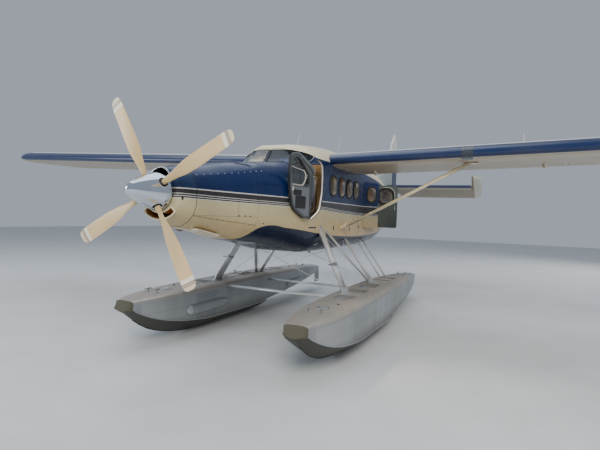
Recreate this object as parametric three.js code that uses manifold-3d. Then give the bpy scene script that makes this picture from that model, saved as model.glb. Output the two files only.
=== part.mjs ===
// A single-engine turboprop utility floatplane: high strutted wing, hollow cabin, twin floats.
// Millimetres, +X to port, +Y aft, +Z up. The pieces are placed by station (Y, aft of the
// propeller's plane) and height (Z, above the propeller's axis), and the whole aircraft is
// then shifted so that its keels stand at Z = 0 and its length is centred on Y = 0.
import * as THREE from "three";
import { mergeVertices } from "three/addons/utils/BufferGeometryUtils.js";
import Module from "manifold-3d";

const wasm = await Module();
wasm.setup();

// Whole aircraft
const hubHeight = 2500; // propeller axis above the keels
const noseTip = -400; // station of the spinner's point
const tailEnd = 13640; // station of the rudder's trailing edge
const seat = 0.3; // gap between two pieces that rest on each other
const runningGap = 8; // gap round a piece that moves
const wall = 40; // thickness of the fuselage skin with its frames, and of the doors

// Propeller
const propRadius = 1330;
const bladeTurn = -29.1; // degrees that the first blade leans from upright, towards starboard
const bladeCount = 4;
const hubRadius = 120;
const spinnerRadius = 235;
const spinnerBack = 110;

// Fuselage stations
const cowlFront = 400;
const firewallStation = 1600;
const cabinJoint = 3860; // the cockpit's ring meets the cabin's ring
const tailJoint = 8050; // the cabin's ring meets the tail cone
const tailConeEnd = 12690;
const halfBeam = 800;
const cowlSplit = 30; // height where the upper and lower cowls meet
const floorTop = -500;
const floorThick = 60;

// Wing
const span = 17680;
const chord = 1980;
const leadingEdge = 4086;
const rootHeight = 879; // leading edge at the fuselage's side
const incidence = 2.5;
const dihedral = 2;
const sparFraction = 0.72; // where the flaps and ailerons begin
const flapSpan = [1000, 4950];
const aileronSpan = [5060, 8250];
const wingCamber = 0.04;
const wingThickness = 0.16;

// Wing struts
const strutLow = [790, 4920, -480];
const strutTopX = 3433;
const strutTopStation = 4640;

// Tail
const tailplaneHalf = 3225;
const tailplaneHeight = 950;
const tailplaneFront = 11900;
const tailHinge = 12760; // hinge line of rudder and elevators
const elevatorDroop = 24; // degrees, as the elevators hang when the aircraft is parked
const finTop = 2640;
const rudderTop = 3040;

// Floats
const floatSpacing = 1510; // centreline to the middle of each float
const floatStep = 5150;
const frontFoot = 3500;
const rearFoot = 5320;
const footSpacing = 1430; // centreline to the feet of the float struts
const keelHeight = -hubHeight;

// Doors
const cockpitDoorOpen = 184; // degrees that the port cockpit door stands open
const cargoForeOpen = 22;
const cargoAftOpen = 90;

const rad = THREE.MathUtils.degToRad;
const vec = (x, y, z) => new THREE.Vector3(x, y, z);

// Solids

function solidFrom(geometry) {
  const bare = geometry.clone();
  bare.deleteAttribute("normal");
  bare.deleteAttribute("uv");
  const merged = mergeVertices(bare, 1e-3);
  return new wasm.Manifold(
    new wasm.Mesh({
      numProp: 3,
      vertProperties: new Float32Array(merged.attributes.position.array),
      triVerts: new Uint32Array(merged.index.array),
    }),
  );
}

function geometryOf(solid) {
  const made = solid.getMesh();
  const geometry = new THREE.BufferGeometry();
  geometry.setAttribute("position", new THREE.BufferAttribute(made.vertProperties, 3));
  geometry.setIndex(new THREE.BufferAttribute(made.triVerts, 1));
  return geometry;
}

// Triangles that fill a closed ring, wound the way the ring is.
function capOf(ring) {
  const normal = vec(0, 0, 0);
  ring.forEach((p, i) => {
    const q = ring[(i + 1) % ring.length];
    normal.x += (p.y - q.y) * (p.z + q.z);
    normal.y += (p.z - q.z) * (p.x + q.x);
    normal.z += (p.x - q.x) * (p.y + q.y);
  });
  const size = [Math.abs(normal.x), Math.abs(normal.y), Math.abs(normal.z)];
  const drop = size.indexOf(Math.max(...size));
  const keep = ["x", "y", "z"].filter((_, axis) => axis !== drop);
  const flat = ring.map((p) => new THREE.Vector2(p[keep[0]], p[keep[1]]));
  const turn = Math.sign(THREE.ShapeUtils.area(flat));
  return THREE.ShapeUtils.triangulateShape(flat, []).map(([a, b, c]) => {
    const area = THREE.ShapeUtils.area([flat[a], flat[b], flat[c]]);
    return Math.sign(area) === turn ? [a, b, c] : [a, c, b];
  });
}

// One closed body through rings that have the same number of points.
function loft(rings) {
  const count = rings[0].length;
  const points = rings.flat();
  const faces = [];
  for (let r = 0; r + 1 < rings.length; r++) {
    for (let i = 0; i < count; i++) {
      const j = (i + 1) % count;
      const a = r * count + i;
      const b = r * count + j;
      faces.push([a, a + count, b + count], [a, b + count, b]);
    }
  }
  const last = (rings.length - 1) * count;
  capOf(rings[0]).forEach((f) => faces.push(f));
  capOf(rings.at(-1)).forEach(([a, b, c]) => faces.push([last + a, last + c, last + b]));
  const volume = faces.reduce((sum, [a, b, c]) => {
    const cross = vec(0, 0, 0).crossVectors(points[b], points[c]);
    return sum + points[a].dot(cross);
  }, 0);
  const index = faces.flatMap(([a, b, c]) => (volume > 0 ? [a, b, c] : [a, c, b]));
  const geometry = new THREE.BufferGeometry().setFromPoints(points);
  geometry.setIndex(index);
  return solidFrom(geometry);
}

// An outline swept along one axis: [y, z] along x, [x, z] along y, [x, y] along z.
function prism(axis, outline, low, high) {
  const place = {
    x: ([u, v], w) => vec(w, u, v),
    y: ([u, v], w) => vec(u, w, v),
    z: ([u, v], w) => vec(u, v, w),
  }[axis];
  return loft([low, high].map((w) => outline.map((p) => place(p, w))));
}

function block(x, y, z) {
  const geometry = new THREE.BoxGeometry(x[1] - x[0], y[1] - y[0], z[1] - z[0]);
  geometry.translate((x[0] + x[1]) / 2, (y[0] + y[1]) / 2, (z[0] + z[1]) / 2);
  return solidFrom(geometry);
}

// A round bar between two points, or a cone where the second radius differs.
function rod(from, to, radius, sides = 12, endRadius = radius) {
  const start = vec(...from);
  const way = vec(...to).sub(start);
  const geometry = new THREE.CylinderGeometry(endRadius, radius, way.length(), sides);
  geometry.translate(0, way.length() / 2, 0);
  const turn = new THREE.Quaternion().setFromUnitVectors(vec(0, 1, 0), way.clone().normalize());
  geometry.applyQuaternion(turn);
  geometry.translate(start.x, start.y, start.z);
  return solidFrom(geometry);
}

// A streamlined bar: an ellipse, its chord fore and aft, at each end.
function fairedBar(from, to, length, width, points = 14) {
  const ring = ([x, y, z]) =>
    Array.from({ length: points }, (_, i) => {
      const turn = (i / points) * 2 * Math.PI;
      return vec(x + (width / 2) * Math.sin(turn), y + (length / 2) * Math.cos(turn), z);
    });
  return loft([ring(from), ring(to)]);
}

function turned(solid, axis, degrees, pivot) {
  const angles = [0, 0, 0];
  angles["xyz".indexOf(axis)] = degrees;
  const back = pivot.map((v) => -v);
  return solid.translate(back).rotate(angles).translate(pivot);
}

const mirrored = (solid) => solid.mirror([1, 0, 0]);
const joined = (...solids) => solids.reduce((sum, solid) => sum.add(solid));

// Materials

const finish = (color, roughness, metalness) =>
  new THREE.MeshStandardMaterial({ color, roughness, metalness });
const paint = {
  navy: finish(0x14264f, 0.25, 0.1),
  cream: finish(0xe8ddc0, 0.35, 0.05),
  chrome: finish(0xdfe3e8, 0.08, 1),
  bladeCream: finish(0xe9d3a0, 0.4, 0.1),
  bareAlloy: finish(0x9aa0a4, 0.45, 0.8),
  polishedAlloy: finish(0xc9ced2, 0.2, 0.9),
  glass: finish(0x9fb4c4, 0.05, 0),
  steel: finish(0x55585c, 0.5, 0.8),
  rubber: finish(0x3d3b2c, 0.85, 0),
  trim: finish(0xb9ad98, 0.7, 0),
  dark: finish(0x22242a, 0.6, 0.1),
  seatCloth: finish(0x2d4a78, 0.9, 0),
};

const aircraft = new THREE.Group();
aircraft.position.set(0, -(noseTip + tailEnd) / 2, hubHeight);

function add(name, solid, material) {
  const mesh = new THREE.Mesh(geometryOf(solid), material);
  mesh.name = name;
  aircraft.add(mesh);
}

// Fuselage skin

// Each row is a section of the skin: station, half width, top, bottom, the radii of the upper
// and lower corners, and the power of the upper corners' curve: 2 is round, 1 is straight.
const skinColumns = ["station", "half", "top", "bottom", "upper", "lower", "power"];
const skinRows = [
  [150, 300, 290, -360, 285, 285, 2],
  [260, 345, 325, -395, 310, 320, 2],
  [400, 385, 355, -445, 330, 350, 2],
  [800, 450, 415, -505, 350, 380, 2],
  [1200, 530, 490, -575, 360, 400, 2],
  [1600, 610, 545, -650, 360, 420, 2],
  [2200, 715, 622, -720, 440, 420, 2],
  [2600, 765, 676, -780, 440, 400, 2],
  [2780, 778, 695, -815, 440, 390, 1.9],
  [3070, 792, 968, -867, 560, 375, 1.3],
  [3130, 794, 1052, -876, 570, 372, 1.3],
  [3430, 800, 1090, -920, 440, 360, 1.8],
  [4086, 800, 1155, -930, 410, 350, 2],
  [4700, 800, 1190, -930, 390, 350, 2],
  [6300, 800, 1175, -920, 370, 350, 2],
  [7700, 770, 1120, -880, 340, 340, 2],
  [8600, 690, 1060, -790, 320, 320, 2],
  [9970, 520, 860, -520, 250, 280, 2],
  [11300, 330, 760, -190, 170, 190, 2],
  [12900, 100, 750, 270, 60, 70, 2],
];
const skin = skinRows.map((row) =>
  Object.fromEntries(skinColumns.map((name, i) => [name, row[i]])),
);
const cornerSteps = 5;

function skinAt(station) {
  const next = Math.max(1, skin.findIndex((row) => row.station >= station));
  const [a, b] = [skin[next - 1], skin[next]];
  const t = (station - a.station) / (b.station - a.station);
  return Object.fromEntries(skinColumns.map((name) => [name, a[name] + t * (b[name] - a[name])]));
}

// A section's outline, moved inwards by an inset.
function skinRing(row, inset = 0) {
  const half = row.half - inset;
  const top = row.top - inset;
  const bottom = row.bottom + inset;
  const corners = [
    { x: half, z: top, radius: row.upper - inset / 2, from: 0 },
    { x: -half, z: top, radius: row.upper - inset / 2, from: 90 },
    { x: -half, z: bottom, radius: row.lower - inset / 2, from: 180 },
    { x: half, z: bottom, radius: row.lower - inset / 2, from: 270 },
  ];
  return corners.flatMap(({ x, z, radius, from }) => {
    const bend = 2 / (from < 180 ? row.power : 2);
    const reach = (value) => Math.sign(value) * radius * Math.abs(value) ** bend;
    return Array.from({ length: cornerSteps + 1 }, (_, i) => {
      const turn = rad(from + (90 * i) / cornerSteps);
      const across = x - Math.sign(x) * radius + reach(Math.cos(turn));
      const up = z + (from < 180 ? -radius : radius) + reach(Math.sin(turn));
      return vec(across, row.station, up);
    });
  });
}

function skinBody(low, high, inset = 0, reach = 0) {
  const inner = skin.filter((row) => row.station > low + 1 && row.station < high - 1);
  const rows = [skinAt(low), ...inner, skinAt(high)];
  const rings = rows.map((row) => skinRing(row, inset));
  rings[0] = rings[0].map((p) => vec(p.x, p.y - reach, p.z));
  rings[rings.length - 1] = rings.at(-1).map((p) => vec(p.x, p.y + reach, p.z));
  return loft(rings);
}

// A length of skin with a hollow right through it.
const skinShell = (low, high, thick = wall) =>
  skinBody(low, high).subtract(skinBody(low, high, thick, 1));

// Wing section

// The upper and lower surfaces of a four-digit aerofoil, from the trailing edge over the nose
// and back, as [y, z] with the nose at 0, 0.
function aerofoil(length, camber, thickness, steps = 10) {
  const crest = 0.4;
  const side = (sign) =>
    Array.from({ length: steps + 1 }, (_, i) => {
      const t = (1 - Math.cos((i / steps) * Math.PI)) / 2;
      const half =
        5 * thickness *
        (0.2969 * Math.sqrt(t) - 0.126 * t - 0.3516 * t ** 2 + 0.2843 * t ** 3 - 0.1015 * t ** 4);
      const mean =
        t < crest
          ? (camber / crest ** 2) * (2 * crest * t - t ** 2)
          : (camber / (1 - crest) ** 2) * (1 - 2 * crest + 2 * crest * t - t ** 2);
      return [length * t, length * (mean + sign * half)];
    });
  return [...side(1).reverse(), ...side(-1).slice(1)];
}

// The wing's outline at a distance from the centreline, grown by a margin all round.
const rootX = halfBeam;
const wingRise = (x) => rootHeight + Math.tan(rad(dihedral)) * (x - rootX);
function wingRing(x, scale = 1, margin = 0) {
  const c = chord * scale;
  const turn = rad(-incidence);
  const shift = (chord - c) * 0.45;
  return aerofoil(c, wingCamber, wingThickness).map(([y, z]) => {
    const grown = z + Math.sign(z) * margin;
    const back = y + shift + (y > c / 2 ? margin : -margin);
    return vec(
      x,
      leadingEdge + back * Math.cos(turn) - grown * Math.sin(turn),
      wingRise(x) + back * Math.sin(turn) + grown * Math.cos(turn),
    );
  });
}

const tipRow = [
  { out: 0, scale: 1 },
  { out: 160, scale: 0.95 },
  { out: 300, scale: 0.84 },
  { out: 400, scale: 0.64 },
  { out: 440, scale: 0.34 },
];
const tipStart = span / 2 - tipRow.at(-1).out;
const wingBody = (margin = 0, from = 0.15) =>
  loft([
    wingRing(from, 1, margin),
    ...tipRow.map(({ out, scale }) => wingRing(tipStart + out, scale, margin)),
  ]);

// Height of the wing's lower surface
function underWing(x, station) {
  const ring = wingRing(x);
  const lower = ring.slice(ring.length / 2);
  const next = Math.max(1, lower.findIndex((p) => p.y >= station));
  const [a, b] = [lower[next - 1], lower[next]];
  return a.z + ((station - a.y) / (b.y - a.y)) * (b.z - a.z);
}

// The strip behind the spar, cut out of the wing for a flap or an aileron.
const sparStation = leadingEdge + chord * sparFraction;
const strip = (low, high, from) =>
  block([low, high], [from, 7000], [rootHeight - 700, rootHeight + 900]);

const port = { wing: wingBody(), whole: wingBody() };

// Ailerons turn about the middle of their round noses.
const aileronNose = 78;
const aileronAxis = (x) => [
  sparStation + runningGap + aileronNose + 4,
  wingRise(x) - 0.008 * chord,
];
function aileronBar(x, radius) {
  const [y, z] = aileronAxis(x);
  return Array.from({ length: 16 }, (_, i) => {
    const turn = (i / 16) * 2 * Math.PI;
    return vec(x, y + radius * Math.cos(turn), z + radius * Math.sin(turn));
  });
}
const [aileronIn, aileronOut] = aileronSpan;
const aileronRoom = joined(
  loft(aileronSpan.map((x) => aileronBar(x, aileronNose + runningGap))),
  block([aileronIn, aileronOut], [sparStation + runningGap + aileronNose, 7000], [300, 1900]),
);
const aileronEnd = [aileronIn + runningGap, aileronOut - runningGap];
const aileron = port.whole
  .intersect(strip(...aileronEnd, aileronAxis(aileronIn)[0]))
  .add(loft(aileronEnd.map((x) => aileronBar(x, aileronNose))));
const aileronPins = [
  [aileronIn - 20, aileronEnd[0] - seat],
  [aileronEnd[1] + seat, aileronOut + 20],
].map(([a, b]) => rod([a, ...aileronAxis(a)], [b, ...aileronAxis(a)], 16, 10));
port.wing = port.wing.subtract(aileronRoom).add(aileronPins[0]).add(aileronPins[1]);

// Flaps hang on arms below the wing and turn about a line under their noses.
const [flapIn, flapOut] = flapSpan;
const flapCove = 14;
const flapDrop = 150; // pivot below the leading edge's line
const flapUnder = 96; // lower surface at the spar, below the same line
const flapAxis = (x) => [sparStation + 40, wingRise(x) - flapDrop];
const flapEnds = [flapIn + runningGap, flapOut - runningGap];
const flapArms = [flapIn + 320, (flapIn + flapOut) / 2, flapOut - 320];
const armThick = 18;
port.wing = port.wing.subtract(strip(flapIn, flapOut, sparStation));
let flap = port.whole.intersect(strip(...flapEnds, sparStation + flapCove));
for (const x of flapArms) {
  const [y, z] = flapAxis(x);
  const under = wingRise(x) - flapUnder;
  const boss = (a, b) => rod([a, ...flapAxis(a)], [b, ...flapAxis(b)], 26, 12);
  const wingSide = [
    [y - 300, under + 40],
    [y - 75, under + 40],
    [y - 75, under - 12],
    [y + 16, z + 8],
    [y, z - 24],
    [y - 24, z - 10],
  ];
  const flapSide = [
    [y + 60, under + 40],
    [y + 260, under + 30],
    [y + 14, z - 20],
    [y - 18, z + 8],
  ];
  const wingArm = prism("x", wingSide, x + 8, x + 8 + armThick).add(boss(x, x + 10));
  const flapArm = prism("x", flapSide, x - 8 - armThick, x - 8).add(boss(x - 10, x - seat));
  port.wing = port.wing.add(wingArm);
  flap = flap.add(flapArm);
}

// Wing strut, cut to the skin at its foot and to the wing at its head
const strutHigh = [strutTopX, strutTopStation, underWing(strutTopX, strutTopStation) + 40];
const strutInner = [halfBeam - 60, strutLow[1], strutLow[2] - 24];

// Fuselage

const skinSolid = skinBody(1700, 12000, -seat);
const strut = fairedBar(strutInner, strutHigh, 170, 62)
  .subtract(wingBody(seat, 1000))
  .subtract(skinSolid);

// An outline with rounded corners in the side view, as [station, height].
function roundedOutline(low, high, bottom, top, radius, steps = 2) {
  const corners = [
    [high - radius, top - radius, 0],
    [low + radius, top - radius, 90],
    [low + radius, bottom + radius, 180],
    [high - radius, bottom + radius, 270],
  ];
  return corners.flatMap(([y, z, from]) =>
    Array.from({ length: steps + 1 }, (_, i) => {
      const turn = rad(from + (90 * i) / steps);
      return [y + radius * Math.cos(turn), z + radius * Math.sin(turn)];
    }),
  );
}
const grown = ([low, high, bottom, top, radius], gap) =>
  roundedOutline(low - gap, high + gap, bottom - gap, top + gap, radius + gap);
const sideCut = (outline, from = 300, to = 1400) => prism("x", outline, from, to);

// Each window and doorway: fore station, aft station, sill, head and corner radius.
const windowMiddles = [4290, 4825, 5325, 5835];
const windowWidth = 380;
const windowRow = windowMiddles.map((middle) => [
  middle - windowWidth / 2,
  middle + windowWidth / 2,
  190,
  590,
  150,
]);
const doorGap = 8;
const cargoFore = [6500, 7116, -480, 660, 60];
const cargoAft = [7108, 7700, -480, 660, 60];
const cargoOpening = [6500, 7700, -480, 660, 60];
const cargoPanes = [[6620, 7000, 170, 550, 150], [7230, 7610, 170, 550, 150]];
const cabinDoor = [6500, 7220, -480, 660, 80];
const cabinDoorPane = [6670, 7050, 190, 590, 150];

// The cockpit doors' outline as [station, height]: the fore upper corner follows the
// windshield's side post, and the aft lower corner is swept up.
const cockpitCorners = [
  [3000, -290],
  [3230, -290],
  [3620, -130],
  [3730, 200],
  [3745, 450],
  [3720, 730],
  [3600, 810],
  [3500, 810],
  [3360, 770],
  [3000, 550],
];
const paneCorners = [
  [3080, 285],
  [3630, 285],
  [3660, 480],
  [3630, 700],
  [3550, 735],
  [3420, 725],
  [3080, 490],
];

// A convex outline moved outwards by a gap.
function offsetOutline(points, gap) {
  const normals = points.map(([y, z], i) => {
    const [nextY, nextZ] = points[(i + 1) % points.length];
    const length = Math.hypot(nextY - y, nextZ - z);
    return [(nextZ - z) / length, (y - nextY) / length];
  });
  return points.map(([y, z], i) => {
    const [a, b] = [normals.at(i - 1), normals[i]];
    const spread = gap / (1 + a[0] * b[0] + a[1] * b[1]);
    return [y + spread * (a[0] + b[0]), z + spread * (a[1] + b[1])];
  });
}
const cockpitOutline = (gap) => offsetOutline(cockpitCorners, gap);
const paneOutline = (gap) => offsetOutline(paneCorners, gap);

// Hinge of a side door: a knuckle on the door between two on the skin, on one upright pin line.
const pinStand = 14; // the pin line stands off the skin
const knuckle = 12;
const hingeHeights = [0.2, 0.75];
function sideHinge(axis, bottom, top, reach) {
  const [x, y] = axis;
  const barrel = (low, high) => rod([x, y, low], [x, y, high], knuckle, 8);
  const leaf = (low, high, from, to) =>
    block([x - 50, x - 4], [Math.min(y + from, y + to), Math.max(y + from, y + to)], [low, high]);
  const doors = [];
  const frames = [];
  for (const part of hingeHeights) {
    const z = bottom + part * (top - bottom);
    doors.push(barrel(z - 30, z + 30), leaf(z - 30, z + 30, reach * 7, reach * 34));
    for (const [low, high] of [[z - 66, z - 30 - seat], [z + 30 + seat, z + 66]])
      frames.push(barrel(low, high), leaf(low, high, 0, -reach * 34));
  }
  return { door: joined(...doors), frame: joined(...frames) };
}

// A door cut from the skin, with its hinge on the pin line and its window cut through.
function sideDoor(outline, hinge, pane) {
  const panel = doorSkin.intersect(sideCut(outline));
  return panel.add(hinge.door).subtract(sideCut(pane));
}

const pinLine = (station) => [skinAt(station).half + pinStand, station];
const cockpitPin = pinLine(cockpitCorners[0][0]);
const cargoForePin = pinLine(cargoOpening[0]);
const cargoAftPin = pinLine(cargoOpening[1]);
const cabinPin = pinLine(cabinDoor[0]);
const doorSkin = skinShell(2000, 8000);

const cockpitHinge = sideHinge(cockpitPin, -200, 560, 1);
const cargoForeHinge = sideHinge(cargoForePin, cargoFore[2], cargoFore[3], 1);
const cargoAftHinge = sideHinge(cargoAftPin, cargoAft[2], cargoAft[3], -1);
const cabinHinge = sideHinge(cabinPin, cabinDoor[2], cabinDoor[3], 1);

const doors = {
  cockpit: sideDoor(cockpitOutline(-doorGap), cockpitHinge, paneOutline(0)),
  cargoFore: sideDoor(grown(cargoFore, -doorGap), cargoForeHinge, grown(cargoPanes[0], 0)),
  cargoAft: sideDoor(grown(cargoAft, -doorGap), cargoAftHinge, grown(cargoPanes[1], 0)),
  cabin: sideDoor(grown(cabinDoor, -doorGap), cabinHinge, grown(cabinDoorPane, 0)),
};

// Glass: a thin layer just under the skin's face, cut to an outline.
const glassDepth = 12;
const glassThick = 8;
const glassLayer = skinBody(2000, 4000, glassDepth).subtract(
  skinBody(2000, 4000, glassDepth + glassThick, 1),
);
const pane = (outline, from = 300) => glassLayer.intersect(sideCut(outline, from));

// Windshield: a pane each side of the centre post, which runs up the front to the roof's lip
// and back along the side to the slanted posts of the doors.
const centrePost = 24;
const windshieldCorners = [
  [2790, 705],
  [3010, 600],
  [3390, 835],
  [3405, 862],
  [3310, 903],
  [3230, 934],
  [3110, 952],
  [2790, 985],
];
const windshieldPane = (gap) =>
  prism("x", offsetOutline(windshieldCorners, gap), centrePost - gap, 1400);

// Bubble windows: domes on a trim panel inside the skin, each dome standing out of its hole.
const bulge = 55;
const domeSteps = [
  { inset: 0, x: halfBeam - wall - 20 },
  { inset: 12, x: halfBeam + bulge * 0.5 },
  { inset: 90, x: halfBeam + bulge },
];
function dome([low, high, bottom, top, radius], shrink) {
  return loft(
    domeSteps.map(({ inset, x }) => {
      const step = inset + shrink;
      const round = Math.min(radius, (high - low) / 2 - step - 1);
      const outline = roundedOutline(low + step, high - step, bottom + step, top - step, round);
      return outline.map(([y, z]) => vec(x - shrink, y, z));
    }),
  );
}
const trimX = [halfBeam - wall - 14, halfBeam - wall - seat];
function windowTrim(openings) {
  const [first, last] = [openings[0], openings.at(-1)];
  const outline = roundedOutline(first[0] - 60, last[1] + 60, first[2] - 60, first[3] + 60, 60);
  let panel = prism("x", outline, ...trimX);
  for (const opening of openings) {
    const outer = dome(opening, seat);
    const mouth = sideCut(grown(opening, -glassThick - seat), 700, 790);
    const inner = dome(opening, seat + glassThick).add(mouth);
    panel = panel.add(outer).subtract(inner);
  }
  return panel;
}

// The skin's rings, with the wing's passage, windows and doorways cut out
const wingRoom = wingBody(seat, -1000);
let rings = skinShell(firewallStation + 30, tailJoint)
  .subtract(wingRoom)
  .subtract(mirrored(wingRoom));
for (const opening of windowRow) {
  rings = rings.subtract(sideCut(grown(opening, 0), -1400, 1400));
}
const portCuts = [cockpitOutline(0), grown(cargoOpening, 0)].map((outline) => sideCut(outline));
const starboardCuts = [cockpitOutline(0), grown(cabinDoor, 0)].map((outline) =>
  mirrored(sideCut(outline)),
);
const paneCuts = [windshieldPane(0), mirrored(windshieldPane(0))];
for (const cut of [...portCuts, ...starboardCuts, ...paneCuts]) rings = rings.subtract(cut);
for (const hinge of [cockpitHinge, cargoForeHinge, cargoAftHinge]) rings = rings.add(hinge.frame);
for (const hinge of [cockpitHinge, cabinHinge]) rings = rings.add(mirrored(hinge.frame));
const slice = (low, high) => block([-1500, 1500], [low, high], [-1500, 2000]);
const cockpitRing = rings.intersect(slice(firewallStation, cabinJoint));
const cabinRing = rings.intersect(slice(cabinJoint + seat, tailJoint));
const coneWall = 24;
const coneRoom = skinBody(tailJoint - 20, tailConeEnd - 60, coneWall);
const tailCone = skinBody(tailJoint + seat, tailConeEnd).subtract(coneRoom);

// Inside the cabin
const inside = skinBody(firewallStation + 30, tailJoint, wall + seat);
const floor = inside.intersect(block([-900, 900], [2100, 7990], [floorTop - floorThick, floorTop]));
const bulkhead = inside.intersect(block([-900, 900], [7995, 8030], [-1000, 1300]));
const panel = inside.intersect(
  joined(
    block([-900, 900], [2560, 2640], [60, 560]),
    prism("x", [[2260, 560], [2260, 590], [2700, 610], [2700, 540], [2640, 540]], -900, 900),
  ),
);

function pilotSeat(x) {
  const [low, high] = [x - 230, x + 230];
  return joined(
    block([low, high], [3280, 3760], [-150, -20]),
    prism("x", [[3700, -60], [3820, -60], [3905, 560], [3825, 580]], low, high),
    block([x - 150, x + 150], [3380, 3700], [floorTop + seat, -100]),
  );
}

// Nose

const cowlWall = 25;
const noseBody = skinBody(skin[0].station, cowlFront - seat);
const noseHollow = skinBody(skin[0].station + 35, cowlFront, cowlWall, 1);
const disc = (radius, height, low, high) => rod([0, low, height], [0, high, height], radius, 24);
const intake = { radius: 170, height: 138 };
const chin = { inner: 255, outer: 345, from: 205, to: 335 };
const chinOutline = [chin.outer, chin.inner].flatMap((radius, k) =>
  Array.from({ length: 11 }, (_, i) => {
    const part = k === 0 ? i / 10 : 1 - i / 10;
    const turn = rad(chin.from + part * (chin.to - chin.from));
    return [radius * Math.cos(turn), radius * Math.sin(turn) - 8];
  }),
);
const noseBowl = noseBody
  .subtract(noseHollow)
  .subtract(disc(intake.radius, intake.height, 100, 300))
  .subtract(disc(140, 0, 100, 300))
  .subtract(prism("y", chinOutline, 100, 300));

const cowl = skinShell(cowlFront, firewallStation, cowlWall);
const upperCowl = cowl.intersect(block([-900, 900], [0, 2000], [cowlSplit + seat, 900]));
const lowerCowl = cowl.intersect(block([-900, 900], [0, 2000], [-900, cowlSplit]));
const firewall = skinBody(firewallStation + seat, firewallStation + 30 - seat);

const engineBack = 1500;
let engine = block([-250, 250], [500, engineBack], [-270, 230]).add(
  rod([0, spinnerBack + 20 + seat, 0], [0, 510, 0], 60, 16),
);
for (const x of [-200, 200]) {
  for (const z of [-220, 180]) {
    const tube = rod([x, engineBack - 10, z], [x * 1.3, firewallStation + 30, z * 1.2], 22, 8);
    engine = engine.add(tube);
  }
}
engine = engine.subtract(block([-900, 900], [firewallStation, 2000], [-900, 900]));

const exhaust = rod([-430, 1180, -330], [-700, 1420, -470], 85, 16)
  .subtract(rod([-430, 1180, -330], [-720, 1440, -480], 73, 16))
  .subtract(skinBody(400, 1600, -seat));

// Propeller

const spinnerRows = [
  [noseTip, 0],
  [noseTip + 10, 34],
  [noseTip + 40, 68],
  [noseTip + 110, 112],
  [noseTip + 230, 164],
  [noseTip + 360, 208],
  [spinnerBack - 40, spinnerRadius],
  [spinnerBack, spinnerRadius],
];
const spinnerSides = 24;
function latheY(profile, sides) {
  const geometry = new THREE.LatheGeometry(profile.map(([y, r]) => new THREE.Vector2(r, y)), sides);
  return solidFrom(geometry);
}
const spinnerWall = 10;
const spinnerOuter = latheY([...spinnerRows, [spinnerBack, 0]], spinnerSides);
const innerRows = spinnerRows.slice(2).map(([y, r]) => [y + spinnerWall, r - spinnerWall]);
const spinnerInner = latheY(
  [
    [noseTip + 30, 0],
    ...innerRows,
    [spinnerBack + 30, spinnerRadius - spinnerWall],
    [spinnerBack + 30, 0],
  ],
  spinnerSides,
);
const bladeAngles = Array.from({ length: bladeCount }, (_, i) => bladeTurn + (i * 360) / bladeCount);
const alongBlade = (solid, angle) => solid.rotate([0, angle, 0]);
const spinner = bladeAngles.reduce(
  (shell, angle) => shell.subtract(alongBlade(rod([0, 0, 150], [0, 0, 300], 62, 16), angle)),
  spinnerOuter.subtract(spinnerInner),
);
const socketEnd = 165;
let hub = rod([0, -80, 0], [0, spinnerBack, 0], hubRadius - 20, 16).add(
  rod([0, spinnerBack - 20, 0], [0, spinnerBack - 6, 0], spinnerRadius - spinnerWall - seat, spinnerSides),
);
hub = hub.add(rod([0, spinnerBack - 10, 0], [0, spinnerBack + 20, 0], 60, 16));
for (const angle of bladeAngles) {
  hub = hub.add(alongBlade(rod([0, 0, 40], [0, 0, socketEnd], 58, 12), angle));
}

// Blade sections: radius, chord, thickness as a part of the chord, and pitch in degrees.
const bladeRows = [
  { radius: 300, chord: 82, thick: 0.6, pitch: 24 },
  { radius: 420, chord: 110, thick: 0.34, pitch: 17 },
  { radius: 600, chord: 172, thick: 0.18, pitch: 8 },
  { radius: 850, chord: 194, thick: 0.12, pitch: -2 },
  { radius: 1080, chord: 196, thick: 0.09, pitch: -6 },
  { radius: 1240, chord: 190, thick: 0.08, pitch: -8 },
  { radius: 1300, chord: 162, thick: 0.08, pitch: -9 },
  { radius: propRadius, chord: 96, thick: 0.1, pitch: -10 },
];
function bladeRing({ radius, chord: width, thick, pitch }) {
  const count = 12;
  return Array.from({ length: count }, (_, i) => {
    const turn = (i / count) * 2 * Math.PI;
    const along = (width / 2) * Math.cos(turn);
    const across = ((width * thick) / 2) * Math.sin(turn) * (0.75 + 0.25 * Math.cos(turn));
    const lean = rad(pitch);
    return vec(
      along * Math.cos(lean) - across * Math.sin(lean),
      along * Math.sin(lean) + across * Math.cos(lean),
      radius,
    );
  });
}
const blade = rod([0, 0, socketEnd + seat], [0, 0, 320], 36, 12).add(loft(bladeRows.map(bladeRing)));

// Tail surfaces

const tailChord = 1620;
const tailThickness = 0.095;
const hingeNose = 52;
const symmetric = aerofoil(tailChord, 0, tailThickness, 8);

// The whole horizontal tail to one side, and its planform split at the hinge line.
const overCentre = 0.2; // each half reaches over the centreline, to join the other
const tailTip = [
  { x: -overCentre, front: 0, scale: 1 },
  { x: tailplaneHalf - 300, front: 0, scale: 1 },
  { x: tailplaneHalf - 120, front: 60, scale: 0.9 },
  { x: tailplaneHalf - 30, front: 180, scale: 0.72 },
  { x: tailplaneHalf, front: 330, scale: 0.5 },
];
const tailHalf = loft(
  tailTip.map(({ x, front, scale }) =>
    symmetric.map(([y, z]) => vec(x, tailplaneFront + front + y * scale, tailplaneHeight + z * scale)),
  ),
);
const hornIn = 2900; // the elevators' horns begin here
const hornFront = 12330;
const plan = (outline) => prism("z", outline, tailplaneHeight - 400, tailplaneHeight + 400);
const stabiliser = tailHalf.intersect(
  plan([
    [-1, 11000],
    [hornIn, 11000],
    [hornIn, tailHinge - hingeNose - runningGap],
    [-1, tailHinge - hingeNose - runningGap],
  ]),
);
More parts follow.
